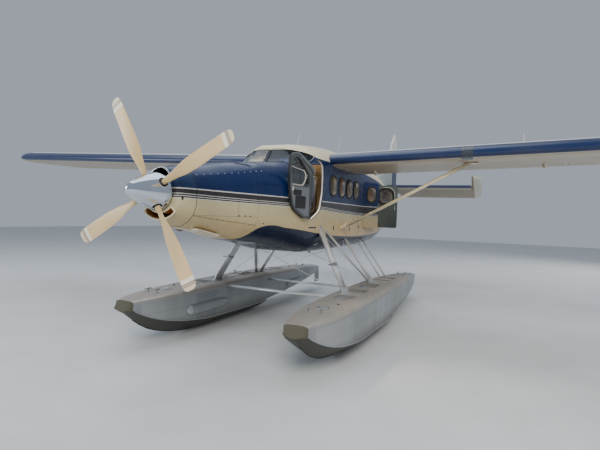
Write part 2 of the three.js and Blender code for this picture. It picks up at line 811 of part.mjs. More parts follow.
const hornPlan = [
  [hornIn + runningGap, 11000],
  [4000, 11000],
  [4000, 14000],
  [560, 14000],
  [110, tailHinge + 60],
  [110, tailHinge],
  [hornIn + runningGap, tailHinge],
];
const hingeLine = (x) => [x, tailHinge, tailplaneHeight];
const elevatorNose = rod(hingeLine(110), hingeLine(hornIn + 60), hingeNose, 16);
const lugAt = [700, 2300];
let elevator = tailHalf.intersect(plan(hornPlan)).add(elevatorNose);
let stabiliserPort = stabiliser;
const lugWidth = 30;
const lugHalf = 18;
const aboutTailplane = (half) => [tailplaneHeight - half, tailplaneHeight + half];
for (const x of lugAt) {
  const slot = block(
    [x - runningGap, x + lugWidth + seat],
    [tailHinge - 100, tailHinge + 30],
    aboutTailplane(90),
  );
  const lug = block([x, x + lugWidth], [tailHinge - hingeNose - 60, tailHinge], aboutTailplane(lugHalf));
  elevator = elevator.subtract(slot);
  stabiliserPort = stabiliserPort
    .add(lug)
    .add(rod(hingeLine(x), hingeLine(x + lugWidth), lugHalf, 10));
}

// The skins' hollow between the spars, open at the tips' ribs
const boxHalf = [[11990, 34], [12060, 48], [12200, 61], [12390, 66], [12680, 58]];
const tailplaneBox = [
  ...boxHalf.map(([y, half]) => [y, tailplaneHeight + half]),
  ...boxHalf.map(([y, half]) => [y, tailplaneHeight - half]).reverse(),
];
const tailplane = stabiliserPort
  .add(mirrored(stabiliserPort))
  .subtract(prism("x", tailplaneBox, -hornIn - 1, hornIn + 1));
const elevatorBox = [
  [tailHinge + 40, tailplaneHeight + 54],
  [tailHinge + 570, tailplaneHeight + 10],
  [tailHinge + 570, tailplaneHeight - 10],
  [tailHinge + 40, tailplaneHeight - 54],
];
elevator = elevator
  .subtract(prism("x", elevatorBox, 620, hornIn - 40))
  .subtract(block([100, 660], [tailHinge + 20, tailHinge + 44], aboutTailplane(14)));
const elevatorPivot = [0, tailHinge, tailplaneHeight];

// Fin and rudder: sections up the height, as front station, back station and half thickness.
const finRows = [
  { z: 560, front: 9990, half: 40 },
  { z: 840, front: 9990, half: 46 },
  { z: 1090, front: 10620, half: 52 },
  { z: 1340, front: 11220, half: 56 },
  { z: 1800, front: 11800, half: 56 },
  { z: 2300, front: 12390, half: 50 },
  { z: 2560, front: 12590, half: 46 },
  { z: finTop, front: 12640, half: 40 },
];
const finBack = tailHinge - hingeNose - runningGap;
function finRing({ z, front, half }, inset = 0) {
  const nose = Math.min(340, (finBack - front) * 0.5);
  const profile = [[0, 0], [0.1, 0.45], [0.35, 0.8], [1, 1]];
  const edge = profile.map(([t, w]) => [front + 4 * inset + nose * t, (half - inset) * w]);
  return [
    ...edge.map(([y, x]) => vec(x, y, z)),
    vec(hingeNose - 2 - inset, finBack - 3 * inset, z),
    vec(-hingeNose + 2 + inset, finBack - 3 * inset, z),
    ...edge.slice(1).reverse().map(([y, x]) => vec(-x, y, z)),
  ];
}
const finSkin = 10;
const finBox = loft(finRows.slice(0, 6).map((row) => finRing(row, finSkin)));
const tailplaneRoom = loft(
  [-400, 400].map((x) =>
    aerofoil(tailChord + 4, 0, tailThickness, 8).map(([y, z]) =>
      vec(x, tailplaneFront - 2 + y, tailplaneHeight + z + Math.sign(z) * seat),
    ),
  ),
);
const rudderNose = tailHinge - hingeNose;
const rudderRows = [
  { z: 290, front: rudderNose, back: 13330, half: hingeNose },
  { z: 420, front: rudderNose, back: 13540, half: hingeNose },
  { z: 760, front: rudderNose, back: tailEnd, half: hingeNose },
  { z: 2300, front: rudderNose, back: tailEnd - 30, half: hingeNose },
  { z: finTop, front: rudderNose, back: tailEnd - 90, half: hingeNose },
  { z: 2830, front: 12860, back: tailEnd - 180, half: 38 },
  { z: 2970, front: 12970, back: tailEnd - 330, half: 26 },
  { z: rudderTop, front: 13060, back: tailEnd - 520, half: 12 },
];
const rudderRing = ({ z, front, back, half }) => {
  const round = Array.from({ length: 7 }, (_, i) => {
    const turn = rad(-90 - i * 30);
    return vec(-half * Math.sin(turn), front + half + half * Math.cos(turn), z);
  });
  return [...round, vec(-4, back, z), vec(4, back, z)];
};
let fin = loft(finRows.map((row) => finRing(row)))
  .subtract(finBox)
  .subtract(tailplaneRoom)
  .subtract(skinBody(8100, tailConeEnd, -seat, 200));
const rudderBox = [
  [36, tailHinge + 50],
  [9, tailHinge + 520],
  [-9, tailHinge + 520],
  [-36, tailHinge + 50],
];
let rudder = loft(rudderRows.map(rudderRing)).subtract(prism("z", rudderBox, 200, 2900));
for (const z of [1500, 2500]) {
  const slot = block(
    [-200, 200],
    [tailHinge - 100, tailHinge + 30],
    [z - runningGap, z + lugWidth + seat],
  );
  rudder = rudder.subtract(slot);
  fin = fin
    .add(block([-lugHalf, lugHalf], [finBack - 60, tailHinge], [z, z + lugWidth]))
    .add(rod([0, tailHinge, z], [0, tailHinge, z + lugWidth], lugHalf, 10));
}

// Floats

// Sections of a float: station, half beam at the gunwale, half width of the flat deck, and the
// heights of deck, gunwale, chine and keel.
const floatColumns = ["station", "beam", "flat", "deck", "gunwale", "chine", "keel"];
const floatRows = [
  [1120, 185, 120, -1695, -1740, -1840, -1885],
  [1350, 270, 175, -1672, -1735, -1960, -2080],
  [1750, 345, 225, -1648, -1728, -2090, -2290],
  [2300, 390, 255, -1630, -1718, -2190, -2430],
  [2950, 410, 265, -1620, -1710, -2250, keelHeight],
  [floatStep, 415, 268, -1620, -1715, -2280, keelHeight],
  [floatStep + 1, 410, 265, -1620, -1715, -2230, -2410],
  [6500, 385, 245, -1650, -1740, -2150, -2320],
  [8000, 300, 185, -1720, -1800, -2020, -2150],
  [9100, 150, 90, -1800, -1850, -1930, -1990],
];
const floatRings = floatRows.map((row) => {
  const at = Object.fromEntries(floatColumns.map((name, i) => [name, row[i]]));
  const half = [
    [at.flat, at.deck],
    [at.beam, at.gunwale],
    [at.beam * 0.97, at.chine],
    [at.beam * 0.5, at.chine * 0.42 + at.keel * 0.58],
  ];
  const outline = [...half, [0, at.keel], ...half.map(([x, z]) => [-x, z]).reverse()];
  return outline.map(([x, z]) => vec(floatSpacing + x, at.station, z));
});
const hull = loft(floatRings);
const bumperMiddle = -1790;
const bumper = loft(
  [[1045, 0.8], [1070, 0.95], [1120 - seat, 1]].map(([station, scale]) =>
    floatRings[0].map((p) => {
      const x = floatSpacing + (p.x - floatSpacing) * scale;
      return vec(x, station, bumperMiddle + (p.z - bumperMiddle) * scale);
    }),
  ),
);
const transom = 9100;

// Water rudder: a blade on a post behind the stern
const waterPost = [floatSpacing, transom + 60];
const waterBracket = joined(
  block([floatSpacing - 30, floatSpacing + 30], [transom - 40, transom + 60], [-1890, -1870]),
  rod([...waterPost, -1890], [...waterPost, -1870], 30, 12),
);
const [postX, postY] = waterPost;
const plate = (y, z) => block([postX - 8, postX + 8], y, z);
const waterRudder = joined(
  rod([...waterPost, -1870 + seat], [...waterPost, -1840], 22, 12),
  rod([...waterPost, -2300], [...waterPost, -1890 - seat], 22, 12),
  plate([postY, postY + 60], [-1870 + seat, -1840]),
  plate([postY + 38, postY + 90], [-2320, -1840]),
  plate([postY, postY + 300], [-2330, -1960]),
);
const floatPort = hull.add(waterBracket);

// Float struts, each cut to the skin and to the deck
const cutToSeats = (bar) =>
  bar.subtract(skinSolid).subtract(hull.translate([0, 0, seat]));
const bars = {
  front: { from: [760, 3690, -430], foot: frontFoot, length: 220, width: 84 },
  diagonal: { from: [745, 3880, -430], foot: rearFoot - 120, length: 90, width: 40 },
  rear: { from: [690, 5230, -600], foot: rearFoot + 20, length: 130, width: 56 },
};
const floatStrut = ({ from, foot, length, width }) =>
  cutToSeats(fairedBar(from, [footSpacing, foot, -1680], length, width));
const hullSide = hull.translate([-seat, 0, 0]);
const spreader = (station, height) =>
  fairedBarAcross(station, height).subtract(hullSide).subtract(mirrored(hullSide));
function fairedBarAcross(station, height) {
  const reach = floatSpacing - 300;
  const ring = (x) =>
    Array.from({ length: 12 }, (_, i) => {
      const turn = (i / 12) * 2 * Math.PI;
      return vec(x, station + 60 * Math.cos(turn), height + 24 * Math.sin(turn));
    });
  return loft([ring(-reach), ring(reach)]);
}

// Boarding ladder from the side door's sill to the float's deck
const ladderRails = [6100, 6540];
const railTop = [690, -640];
const railFoot = [1430, -1690];
function railPoint(part, station) {
  const [x, z] = railTop.map((value, i) => value + part * (railFoot[i] - value));
  return [x, station, z];
}
const [foreRail, aftRail] = ladderRails;
let ladder = joined(...ladderRails.map((y) => rod(railPoint(0, y), railPoint(1, y), 16, 10)));
for (const part of [0.3, 0.5, 0.7, 0.88]) {
  ladder = ladder.add(rod(railPoint(part, foreRail), railPoint(part, aftRail), 13, 8));
}
ladder = ladder.subtract(skinSolid).subtract(hull.translate([0, 0, seat]));

// Assembly

add("nose_bowl", noseBowl, paint.cream);
add("upper_cowl", upperCowl, paint.navy);
add("lower_cowl", lowerCowl, paint.cream);
add("firewall", firewall, paint.bareAlloy);
add("engine_block", engine, paint.steel);
add("exhaust_stack", exhaust, paint.steel);
add("propeller_hub", hub, paint.steel);
add("spinner", spinner, paint.chrome);
bladeAngles.forEach((angle, i) => {
  add(`propeller_blade_${i + 1}`, alongBlade(blade, angle), paint.bladeCream);
});

add("cockpit_shell", cockpitRing, paint.navy);
add("cabin_shell", cabinRing, paint.navy);
add("tail_cone", tailCone, paint.navy);
add("cabin_floor", floor, paint.trim);
add("aft_bulkhead", bulkhead, paint.trim);
add("instrument_panel", panel, paint.dark);
add("pilot_seat_port", pilotSeat(390), paint.seatCloth);
add("pilot_seat_starboard", pilotSeat(-390), paint.seatCloth);
add("windshield_port", glassLayer.intersect(windshieldPane(-seat)), paint.glass);
add("windshield_starboard", mirrored(glassLayer.intersect(windshieldPane(-seat))), paint.glass);
add("window_row_port", windowTrim(windowRow), paint.glass);
add("window_row_starboard", mirrored(windowTrim(windowRow)), paint.glass);

const swing = (solid, pin, degrees) => turned(solid, "z", degrees, [...pin, 0]);
add("cockpit_door_port", swing(doors.cockpit, cockpitPin, -cockpitDoorOpen), paint.navy);
add("cockpit_glass_port", swing(pane(paneOutline(-seat)), cockpitPin, -cockpitDoorOpen), paint.glass);
add("cockpit_door_starboard", mirrored(doors.cockpit), paint.navy);
add("cockpit_glass_starboard", mirrored(pane(paneOutline(-seat))), paint.glass);
add("cargo_door_fore", swing(doors.cargoFore, cargoForePin, -cargoForeOpen), paint.navy);
add("cargo_door_aft", swing(doors.cargoAft, cargoAftPin, cargoAftOpen), paint.navy);
add("cabin_door_starboard", mirrored(doors.cabin), paint.navy);

for (const [side, flip] of [["port", (s) => s], ["starboard", mirrored]]) {
  add(`wing_${side}`, flip(port.wing), paint.navy);
  add(`aileron_${side}`, flip(aileron), paint.cream);
  add(`flap_${side}`, flip(flap), paint.cream);
  add(`wing_strut_${side}`, flip(strut), paint.cream);
  add(`elevator_${side}`, flip(turned(elevator, "x", -elevatorDroop, elevatorPivot)), paint.navy);
  add(`float_${side}`, flip(floatPort), paint.bareAlloy);
  add(`bow_bumper_${side}`, flip(bumper), paint.rubber);
  add(`float_strut_front_${side}`, flip(floatStrut(bars.front)), paint.polishedAlloy);
  add(`float_strut_diagonal_${side}`, flip(floatStrut(bars.diagonal)), paint.polishedAlloy);
  add(`float_strut_rear_${side}`, flip(floatStrut(bars.rear)), paint.polishedAlloy);
  add(`water_rudder_${side}`, flip(waterRudder), paint.bareAlloy);
}
add("spreader_bar_fore", spreader(frontFoot, -1715), paint.polishedAlloy);
add("spreader_bar_aft", spreader(rearFoot, -1790), paint.polishedAlloy);
add("boarding_ladder", ladder, paint.polishedAlloy);
add("tailplane", tailplane, paint.navy);
add("fin", fin, paint.cream);
add("rudder", rudder, paint.navy);

export default aircraft;
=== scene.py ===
import math
from functools import lru_cache
import bmesh
import bpy
import numpy as np
from mathutils import Matrix, Vector


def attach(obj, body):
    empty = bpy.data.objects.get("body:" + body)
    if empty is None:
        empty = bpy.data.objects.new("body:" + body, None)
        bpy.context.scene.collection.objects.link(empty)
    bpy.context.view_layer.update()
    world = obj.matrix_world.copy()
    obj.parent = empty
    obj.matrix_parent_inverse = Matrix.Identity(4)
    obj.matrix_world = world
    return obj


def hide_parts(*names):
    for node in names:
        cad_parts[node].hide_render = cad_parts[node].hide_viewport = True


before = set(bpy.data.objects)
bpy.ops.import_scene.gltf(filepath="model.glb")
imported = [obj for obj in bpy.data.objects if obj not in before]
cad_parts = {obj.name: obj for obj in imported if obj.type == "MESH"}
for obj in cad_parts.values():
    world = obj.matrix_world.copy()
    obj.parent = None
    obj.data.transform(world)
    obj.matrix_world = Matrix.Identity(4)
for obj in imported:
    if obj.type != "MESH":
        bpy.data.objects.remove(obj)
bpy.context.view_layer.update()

ground = bpy.context.scene.collection

# Stations run aft from the propeller's plane and heights up from its axis.
stationShift = -6.62
heightShift = 2.5
tau = 2 * math.pi


def angles(count):
    return [tau * i / count for i in range(count)]


def place(x, station, z):
    return (x, station + stationShift, z + heightShift)


def at(x, station, z):
    return Vector(place(x, station, z))


# Camera and light
view = {"spot": (3.9655, -10.94, 2.2506), "yaw": 24.23, "pitch": -1.10, "roll": 2.03, "lens": 27.14}


def addCamera():
    yaw, pitch, roll = (math.radians(view[k]) for k in ("yaw", "pitch", "roll"))
    ahead = Vector((-math.sin(yaw) * math.cos(pitch), math.cos(yaw) * math.cos(pitch), math.sin(pitch)))
    right = Vector((math.cos(yaw), math.sin(yaw), 0))
    up = right.cross(ahead)
    rolledRight = math.cos(roll) * right + math.sin(roll) * up
    rolledUp = -math.sin(roll) * right + math.cos(roll) * up
    data = bpy.data.cameras.new("camera")
    data.sensor_width = 36
    data.lens = view["lens"]
    data.clip_end = 300
    camera = bpy.data.objects.new("camera", data)
    turn = Matrix((rolledRight, rolledUp, -ahead)).transposed().to_4x4()
    camera.matrix_world = Matrix.Translation(view["spot"]) @ turn
    ground.objects.link(camera)
    bpy.context.scene.camera = camera


lamps = {"key": {"spot": (9, -19, 13), "aim": (0, -2, 2), "size": 9, "power": 3400,
                 "tint": (1.0, 0.95, 0.87), "dull": True},
         "sky": {"spot": (-4, 2, 17), "aim": (0, 0, 2), "size": 18, "power": 1500,
                 "tint": (0.84, 0.91, 1.0)}, "left": {"spot": (-15, -14, 6), "aim": (0, -3, 2), "size": 9,
    "power": 1500, "tint": (0.88, 0.94, 1.0)}, "back": {"spot": (12, 16, 10), "aim": (0, 2, 2), "size": 10,
    "power": 1300, "tint": (1.0, 0.97, 0.93), "dull": True},
         "cabin": {"spot": (0, -2.75, 3.42), "aim": (-0.1, -2.5, 2.2), "size": 0.3, "power": 110,
                   "tint": (1.0, 0.86, 0.64), "dull": True},}


def addLights():
    for name, lamp in lamps.items():
        data = bpy.data.lights.new(name, "AREA")
        data.energy = lamp["power"]
        data.size = lamp["size"]
        data.color = lamp["tint"]
        light = bpy.data.objects.new(name, data)
        way = Vector(lamp["aim"]) - Vector(lamp["spot"])
        light.rotation_euler = way.to_track_quat("-Z", "Y").to_euler()
        light.location = lamp["spot"]
        light.visible_glossy = not lamp.get("dull", False)
        ground.objects.link(light)
    world = bpy.data.worlds.new("studio")
    world.use_nodes = True
    bpy.context.scene.world = world
    sky = world.node_tree.nodes["Background"]
    sky.inputs["Color"].default_value = (0.72, 0.8, 0.92, 1)
    sky.inputs["Strength"].default_value = 0.5


# Node tools
def addNode(tree, kind, **values):
    node = tree.nodes.new(kind)
    for key, value in values.items():
        setattr(node, key, value)
    return node


def feed(tree, source, socket):
    if isinstance(source, bpy.types.NodeSocket):
        tree.links.new(source, socket)
    elif source is not None:
        socket.default_value = source


def calc(tree, operation, a, b=None, c=None):
    node = addNode(tree, "ShaderNodeMath", operation=operation)
    for value, socket in zip((a, b, c), node.inputs):
        feed(tree, value, socket)
    return node.outputs[0]


def mixColor(tree, amount, a, b, blend="MIX"):
    node = addNode(tree, "ShaderNodeMix", data_type="RGBA", blend_type=blend)
    for value, socket in zip((amount, a, b), (node.inputs[0], node.inputs[6], node.inputs[7])):
        feed(tree, value, socket)
    return node.outputs[2]


def ramp(tree, source, low, high, toLow=0.0, toHigh=1.0):
    node = addNode(tree, "ShaderNodeMapRange", clamp=True)
    feed(tree, source, node.inputs["Value"])
    for socket, value in zip(("From Min", "From Max", "To Min", "To Max"), (low, high, toLow, toHigh)):
        node.inputs[socket].default_value = value
    return node.outputs["Result"]


def noise(tree, vector, scale, detail=3.0, stretch=None):
    if stretch:
        mapping = addNode(tree, "ShaderNodeMapping")
        feed(tree, vector, mapping.inputs["Vector"])
        mapping.inputs["Scale"].default_value = stretch
        vector = mapping.outputs[0]
    node = addNode(tree, "ShaderNodeTexNoise")
    feed(tree, vector, node.inputs["Vector"])
    feed(tree, scale, node.inputs["Scale"])
    node.inputs["Detail"].default_value = detail
    return node.outputs[0]


def nearLine(tree, value, middle, half):
    # 1 within half of the middle, 0 beyond
    apart = calc(tree, "ABSOLUTE", calc(tree, "SUBTRACT", value, middle))
    return calc(tree, "LESS_THAN", apart, half)


def curveAlong(tree, value, points, low, high, floor, ceiling):
    # A height that follows points of (station, height), read with a Float Curve
    node = addNode(tree, "ShaderNodeFloatCurve")
    feed(tree, ramp(tree, value, low, high), node.inputs["Value"])
    curve = node.mapping.curves[0]
    while len(curve.points) < len(points):
        curve.points.new(0.5, 0.5)
    for point, (station, height) in zip(curve.points, points):
        point.location = ((station - low) / (high - low), (height - floor) / (ceiling - floor))
    node.mapping.update()
    spread = calc(tree, "MULTIPLY_ADD", node.outputs[0], ceiling - floor, floor)
    return spread


def newGroup(name, inputs, outputs):
    tree = bpy.data.node_groups.new(name, "ShaderNodeTree")
    for title, kind, value in inputs:
        socket = tree.interface.new_socket(title, in_out="INPUT", socket_type=kind)
        if value is not None:
            socket.default_value = value
    for title, kind in outputs:
        tree.interface.new_socket(title, in_out="OUTPUT", socket_type=kind)
    return tree, addNode(tree, "NodeGroupInput").outputs, addNode(tree, "NodeGroupOutput").inputs


number = "NodeSocketFloat"
colour = "NodeSocketColor"
vector = "NodeSocketVector"


def grayOf(tree, value):
    node = addNode(tree, "ShaderNodeCombineColor")
    for socket in node.inputs:
        feed(tree, value, socket)
    return node.outputs[0]


def buildWeather():
    # Grime, a small change of tone, roughness and fine height, for every hard surface.
    tree, given, out = newGroup(
        "weather",
        [("Vector", vector, None), ("Color", colour, (1, 1, 1, 1)), ("Grime", colour, (0.1, 0.09, 0.07, 1)),
         ("Amount", number, 0.3), ("Roughness", number, 0.4), ("Grain", number, 60.0)],
        [("Color", colour), ("Roughness", number), ("Height", number)],
    )
    spot = given["Vector"]
    broad = noise(tree, spot, 0.9, 4)
    streak = noise(tree, spot, 3.0, 5, (1.0, 1.0, 0.12))
    fine = noise(tree, spot, given["Grain"], 3)
    both = calc(tree, "MULTIPLY", ramp(tree, broad, 0.38, 0.72), ramp(tree, streak, 0.35, 0.75))
    dirt = calc(tree, "MULTIPLY", both, given["Amount"])
    toned = mixColor(tree, 1.0, given["Color"], grayOf(tree, ramp(tree, broad, 0.3, 0.7, 0.93, 1.05)),
                     "MULTIPLY")
    feed(tree, mixColor(tree, dirt, toned, given["Grime"]), out["Color"])
    rough = calc(tree, "ADD", given["Roughness"], calc(tree, "MULTIPLY", dirt, 0.45))
    feed(tree, calc(tree, "ADD", rough, ramp(tree, fine, 0.3, 0.7, -0.03, 0.05)), out["Roughness"])
    feed(tree, calc(tree, "ADD", calc(tree, "MULTIPLY", fine, 0.4), dirt), out["Height"])
    return tree


livery = {
    "navy": (0.004, 0.017, 0.075, 1),
    "belly": (0.003, 0.009, 0.034, 1),
    "faded": (0.014, 0.034, 0.092, 1),
    # fuselage cream: a darker copy of the cream paint, as painted shade
    "cream": (0.50, 0.445, 0.265, 1),
    "tan": (0.56, 0.39, 0.185, 1),
    "roof": (0.74, 0.67, 0.49, 1),
    "silver": (0.74, 0.72, 0.66, 1),
    "charcoal": (0.035, 0.032, 0.034, 1),
    "line": 0.05,  # height of the silver line
    "stripeFoot": [(0.1, -0.072), (1.15, -0.088), (2.3, -0.098), (3.0, -0.105), (3.9, -0.122), (5.1, -0.165),
                   (7.0, -0.19), (8.6, -0.17), (11.0, 0.1), (12.9, 0.3)],
    "bellyEdge": [(0.1, -1.1), (1.3, -0.9), (1.5, -0.66), (1.6, -0.515), (1.75, -0.43), (1.96, -0.405),
                  (2.29, -0.44), (2.8, -0.485), (3.76, -0.575), (4.72, -0.635), (6.34, -0.67), (8.0, -0.62),
                  (9.97, -0.42), (11.3, -0.15), (12.9, 0.25)],
    "pins": (0.004, 0.03, 0.058),  # heights of the thin silver lines above the stripe's foot
    "roofEdge": [(2.0, 1.5), (2.95, 1.45), (3.03, 0.955), (3.11, 0.952), (3.23, 0.934), (3.31, 0.903),
                 (3.41, 0.862), (3.5, 0.85), (4.1, 0.84), (6.3, 0.85), (8.0, 0.78), (9.97, 0.7),
                 (12.9, 0.62)],
    "rings": [0.4, 1.6, 3.86, 8.05, 9.97, 11.3],
    "cowlSeams": [1.18],
}


def buildLivery():
    # Paint of the fuselage by station and height: colours, a mask of bare metal lines and of seams.
    tree, given, out = newGroup(
        "livery", [("Vector", vector, None)],
        [("Color", colour), ("Line", number), ("Seam", number)],
    )
    parts = addNode(tree, "ShaderNodeSeparateXYZ")
    feed(tree, given["Vector"], parts.inputs[0])
    station = calc(tree, "SUBTRACT", parts.outputs[1], stationShift)
    rise = calc(tree, "SUBTRACT", parts.outputs[2], heightShift)
    low, high = 0.0, 13.0
    foot = curveAlong(tree, station, livery["stripeFoot"], low, high, -0.4, 0.4)
    belly = curveAlong(tree, station, livery["bellyEdge"], low, high, -1.2, 0.4)
    roof = curveAlong(tree, station, livery["roofEdge"], low, high, 0.4, 1.6)
    above = lambda edge: calc(tree, "GREATER_THAN", rise, edge)
    # Cream above, tan below; the cream is set darker as painted shade.
    cream = mixColor(tree, ramp(tree, rise, -0.12, -0.62), livery["cream"], livery["tan"])
    paint = mixColor(tree, above(belly), livery["belly"], cream)
    paint = mixColor(tree, above(foot), paint, livery["charcoal"])
    dark = mixColor(tree, calc(tree, "LESS_THAN", station, 0.4), livery["navy"], livery["faded"])
    paint = mixColor(tree, above(livery["line"]), paint, dark)
    paint = mixColor(tree, above(roof), paint, livery["roof"])
    top = nearLine(tree, rise, livery["line"], 0.008)
    aboveFoot = calc(tree, "SUBTRACT", rise, foot)
    line = top
    for height in livery["pins"]:
        line = calc(tree, "MAXIMUM", line, nearLine(tree, aboveFoot, height, 0.0042))
    feed(tree, mixColor(tree, line, paint, livery["silver"]), out["Color"])
    feed(tree, line, out["Line"])
    seam = 0.0
    for ring in livery["rings"]:
        seam = calc(tree, "MAXIMUM", nearLine(tree, station, ring, 0.0022), seam)
    for ring in livery["cowlSeams"]:
        short = calc(tree, "MULTIPLY", nearLine(tree, station, ring, 0.002),
                     nearLine(tree, rise, -0.2, 0.15))
        seam = calc(tree, "MAXIMUM", short, seam)
    cowl = calc(tree, "MULTIPLY", nearLine(tree, station, 1.0, 0.6), nearLine(tree, rise, -0.285, 0.0018))
    feed(tree, calc(tree, "MAXIMUM", cowl, seam), out["Seam"])
    return tree


groups = {"weather": buildWeather(), "livery": buildLivery()}


def useGroup(tree, name, **values):
    node = addNode(tree, "ShaderNodeGroup", node_tree=groups[name])
    for title, value in values.items():
        feed(tree, value, node.inputs[title])
    return node


def startMaterial(name):
    material = bpy.data.materials.new(name)
    material.use_nodes = True
    tree = material.node_tree
    spot = addNode(tree, "ShaderNodeTexCoord").outputs["Object"]
    return material, tree, tree.nodes["Principled BSDF"], spot


def bumpInto(tree, shader, height, strength=0.25, distance=0.002):
    bump = addNode(tree, "ShaderNodeBump")
    bump.inputs["Strength"].default_value = strength
    bump.inputs["Distance"].default_value = distance
    feed(tree, height, bump.inputs["Height"])
    feed(tree, bump.outputs[0], shader.inputs["Normal"])


finishColumns = ("color", "metal", "rough", "amount", "bump", "coat", "grain")
finishes = {
    "chromePolish": ((0.62, 0.67, 0.75), 1.0, 0.07, 0.1, 0.02),
    "chromeRim": ((0.8, 0.8, 0.8), 1.0, 0.16, 0.15, 0.03),
    "polishedStrut": ((0.80, 0.81, 0.82), 0.55, 0.3, 0.35, 0.08),
    "castFitting": ((0.42, 0.43, 0.43), 0.8, 0.45, 0.5, 0.2),
    "darkFitting": ((0.05, 0.05, 0.052), 0.5, 0.5, 0.4, 0.15),
    "heatSteel": ((0.28, 0.22, 0.17), 0.9, 0.42, 0.7, 0.15),
    "engineSteel": ((0.2, 0.2, 0.21), 0.85, 0.42, 0.6, 0.2),
    "bladeShank": ((0.3, 0.3, 0.31), 0.8, 0.35, 0.4, 0.08),
    "creamPaint": ((0.70, 0.61, 0.44), 0.0, 0.3, 0.25, 0.05, 0.3),
    "strutCream": ((0.72, 0.62, 0.40), 0.0, 0.33, 0.25, 0.05, 0.2),
    "doorLining": ((0.155, 0.17, 0.182), 0.0, 0.5, 0.3, 0.15),
    "jambGray": ((0.66, 0.68, 0.70), 0.0, 0.4, 0.3, 0.08),
    "cabinLining": ((0.56, 0.44, 0.27), 0.0, 0.72, 0.2, 0.3),
    "cabinFloorBoard": ((0.20, 0.19, 0.18), 0.0, 0.7, 0.6, 0.4),
    "gasketRubber": ((0.018, 0.02, 0.022), 0.0, 0.55, 0.3, 0.15),
    "bumperRubber": ((0.085, 0.08, 0.055), 0.0, 0.8, 0.6, 0.5),
    "blackPlastic": ((0.012, 0.012, 0.014), 0.0, 0.45, 0.3, 0.15),
    "panelBlack": ((0.03, 0.03, 0.034), 0.0, 0.55, 0.25, 0.2),
    "dialFace": ((0.006, 0.006, 0.007), 0.0, 0.12, 0.05, 0.02),
    "dialMark": ((0.75, 0.75, 0.72), 0.0, 0.5, 0.05, 0.02),
    # Near-black sheets that close ducts and openings: painted shade.
    "ductPaintedShade": ((0.01, 0.01, 0.012), 0.2, 0.6, 0.3, 0.2),
    "chinOrange": ((0.55, 0.22, 0.02), 0.1, 0.5, 0.5, 0.2),
    "antennaGray": ((0.55, 0.55, 0.53), 0.0, 0.5, 0.2, 0.05),
    "rivetPale": ((0.55, 0.6, 0.68), 0.6, 0.35, 0.1, 0.05),
    "rivetDark": ((0.05, 0.045, 0.04), 0.4, 0.5, 0.1, 0.05),
    "doorGasket": ((0.055, 0.062, 0.064), 0.0, 0.55, 0.3, 0.15),
    "doorPocket": ((0.022, 0.021, 0.026), 0.0, 0.65, 0.3, 0.2),
    "palePlastic": ((0.56, 0.52, 0.44), 0.0, 0.4, 0.25, 0.08),
    # Cargo and cabin door lining, set dark as painted shade.
    "cargoLiningShaded": ((0.09, 0.11, 0.105), 0.0, 0.55, 0.35, 0.2),
    "seatFrameGray": ((0.10, 0.10, 0.105), 0.4, 0.45, 0.4, 0.1),
    "lampRed": ((0.5, 0.02, 0.015), 0.0, 0.12, 0.15, 0.03, 0.5),
    "lampGreen": ((0.015, 0.3, 0.08), 0.0, 0.12, 0.15, 0.03, 0.5),
    "rivetAlloy": ((0.42, 0.43, 0.44), 0.7, 0.4, 0.4, 0.05),
    "hatchAlloy": ((0.46, 0.47, 0.48), 0.75, 0.36, 0.5, 0.15),
    "footAlloy": ((0.50, 0.51, 0.52), 0.6, 0.4, 0.5, 0.15),
    "podAlloy": ((0.36, 0.38, 0.39), 0.6, 0.42, 0.5, 0.15),
    "floatBottom": ((0.055, 0.055, 0.045), 0.2, 0.55, 0.5, 0.2),
    "walkwayGrit": ((0.20, 0.19, 0.18), 0.0, 0.9, 0.6, 0.9, 0.0, 220.0),
    "strapWeb": ((0.05, 0.055, 0.06), 0.0, 0.85, 0.2, 0.4),
}
finished = {}


def finishOf(name):
    if name in finished:
        return finished[name]
    look = dict(zip(finishColumns, finishes[name]))
    material, tree, shader, spot = startMaterial(name)
    worn = useGroup(tree, "weather", Vector=spot, Color=(*look["color"], 1), Amount=look["amount"],
                    Roughness=look["rough"], Grain=look.get("grain", 70.0))
    feed(tree, worn.outputs["Color"], shader.inputs["Base Color"])
    feed(tree, worn.outputs["Roughness"], shader.inputs["Roughness"])
    shader.inputs["Metallic"].default_value = look["metal"]
    shader.inputs["Coat Weight"].default_value = look.get("coat", 0.0)
    bumpInto(tree, shader, worn.outputs["Height"], look["bump"])
    finished[name] = material
    return material


def bodyPaint(name, turn=None):
    # The livery, read where the skin is when its door is shut.
    material, tree, shader, spot = startMaterial(name)
    if turn:
        back = addNode(tree, "ShaderNodeVectorRotate", rotation_type="Z_AXIS")
        feed(tree, spot, back.inputs["Vector"])
        back.inputs["Center"].default_value = (*turn["pin"], 0)
        back.inputs["Angle"].default_value = -math.radians(turn["angle"])
        spot = back.outputs[0]
    bands = useGroup(tree, "livery", Vector=spot)
    worn = useGroup(tree, "weather", Vector=spot, Color=bands.outputs["Color"], Amount=0.22,
                    Roughness=0.24, Grain=9.0)
    seam = bands.outputs["Seam"]
    feed(tree, mixColor(tree, calc(tree, "MULTIPLY", seam, 0.75), worn.outputs["Color"],
                        (0.01, 0.01, 0.012, 1)), shader.inputs["Base Color"])
    feed(tree, worn.outputs["Roughness"], shader.inputs["Roughness"])
    feed(tree, calc(tree, "MULTIPLY", bands.outputs["Line"], 0.3), shader.inputs["Metallic"])
    shader.inputs["Coat Weight"].default_value = 0.06
    shader.inputs["Coat Roughness"].default_value = 0.08
    shader.inputs["Specular IOR Level"].default_value = 0.22
    bumpInto(tree, shader, calc(tree, "SUBTRACT", worn.outputs["Height"],
                                calc(tree, "MULTIPLY", seam, 3.0)), 0.06)
    return material


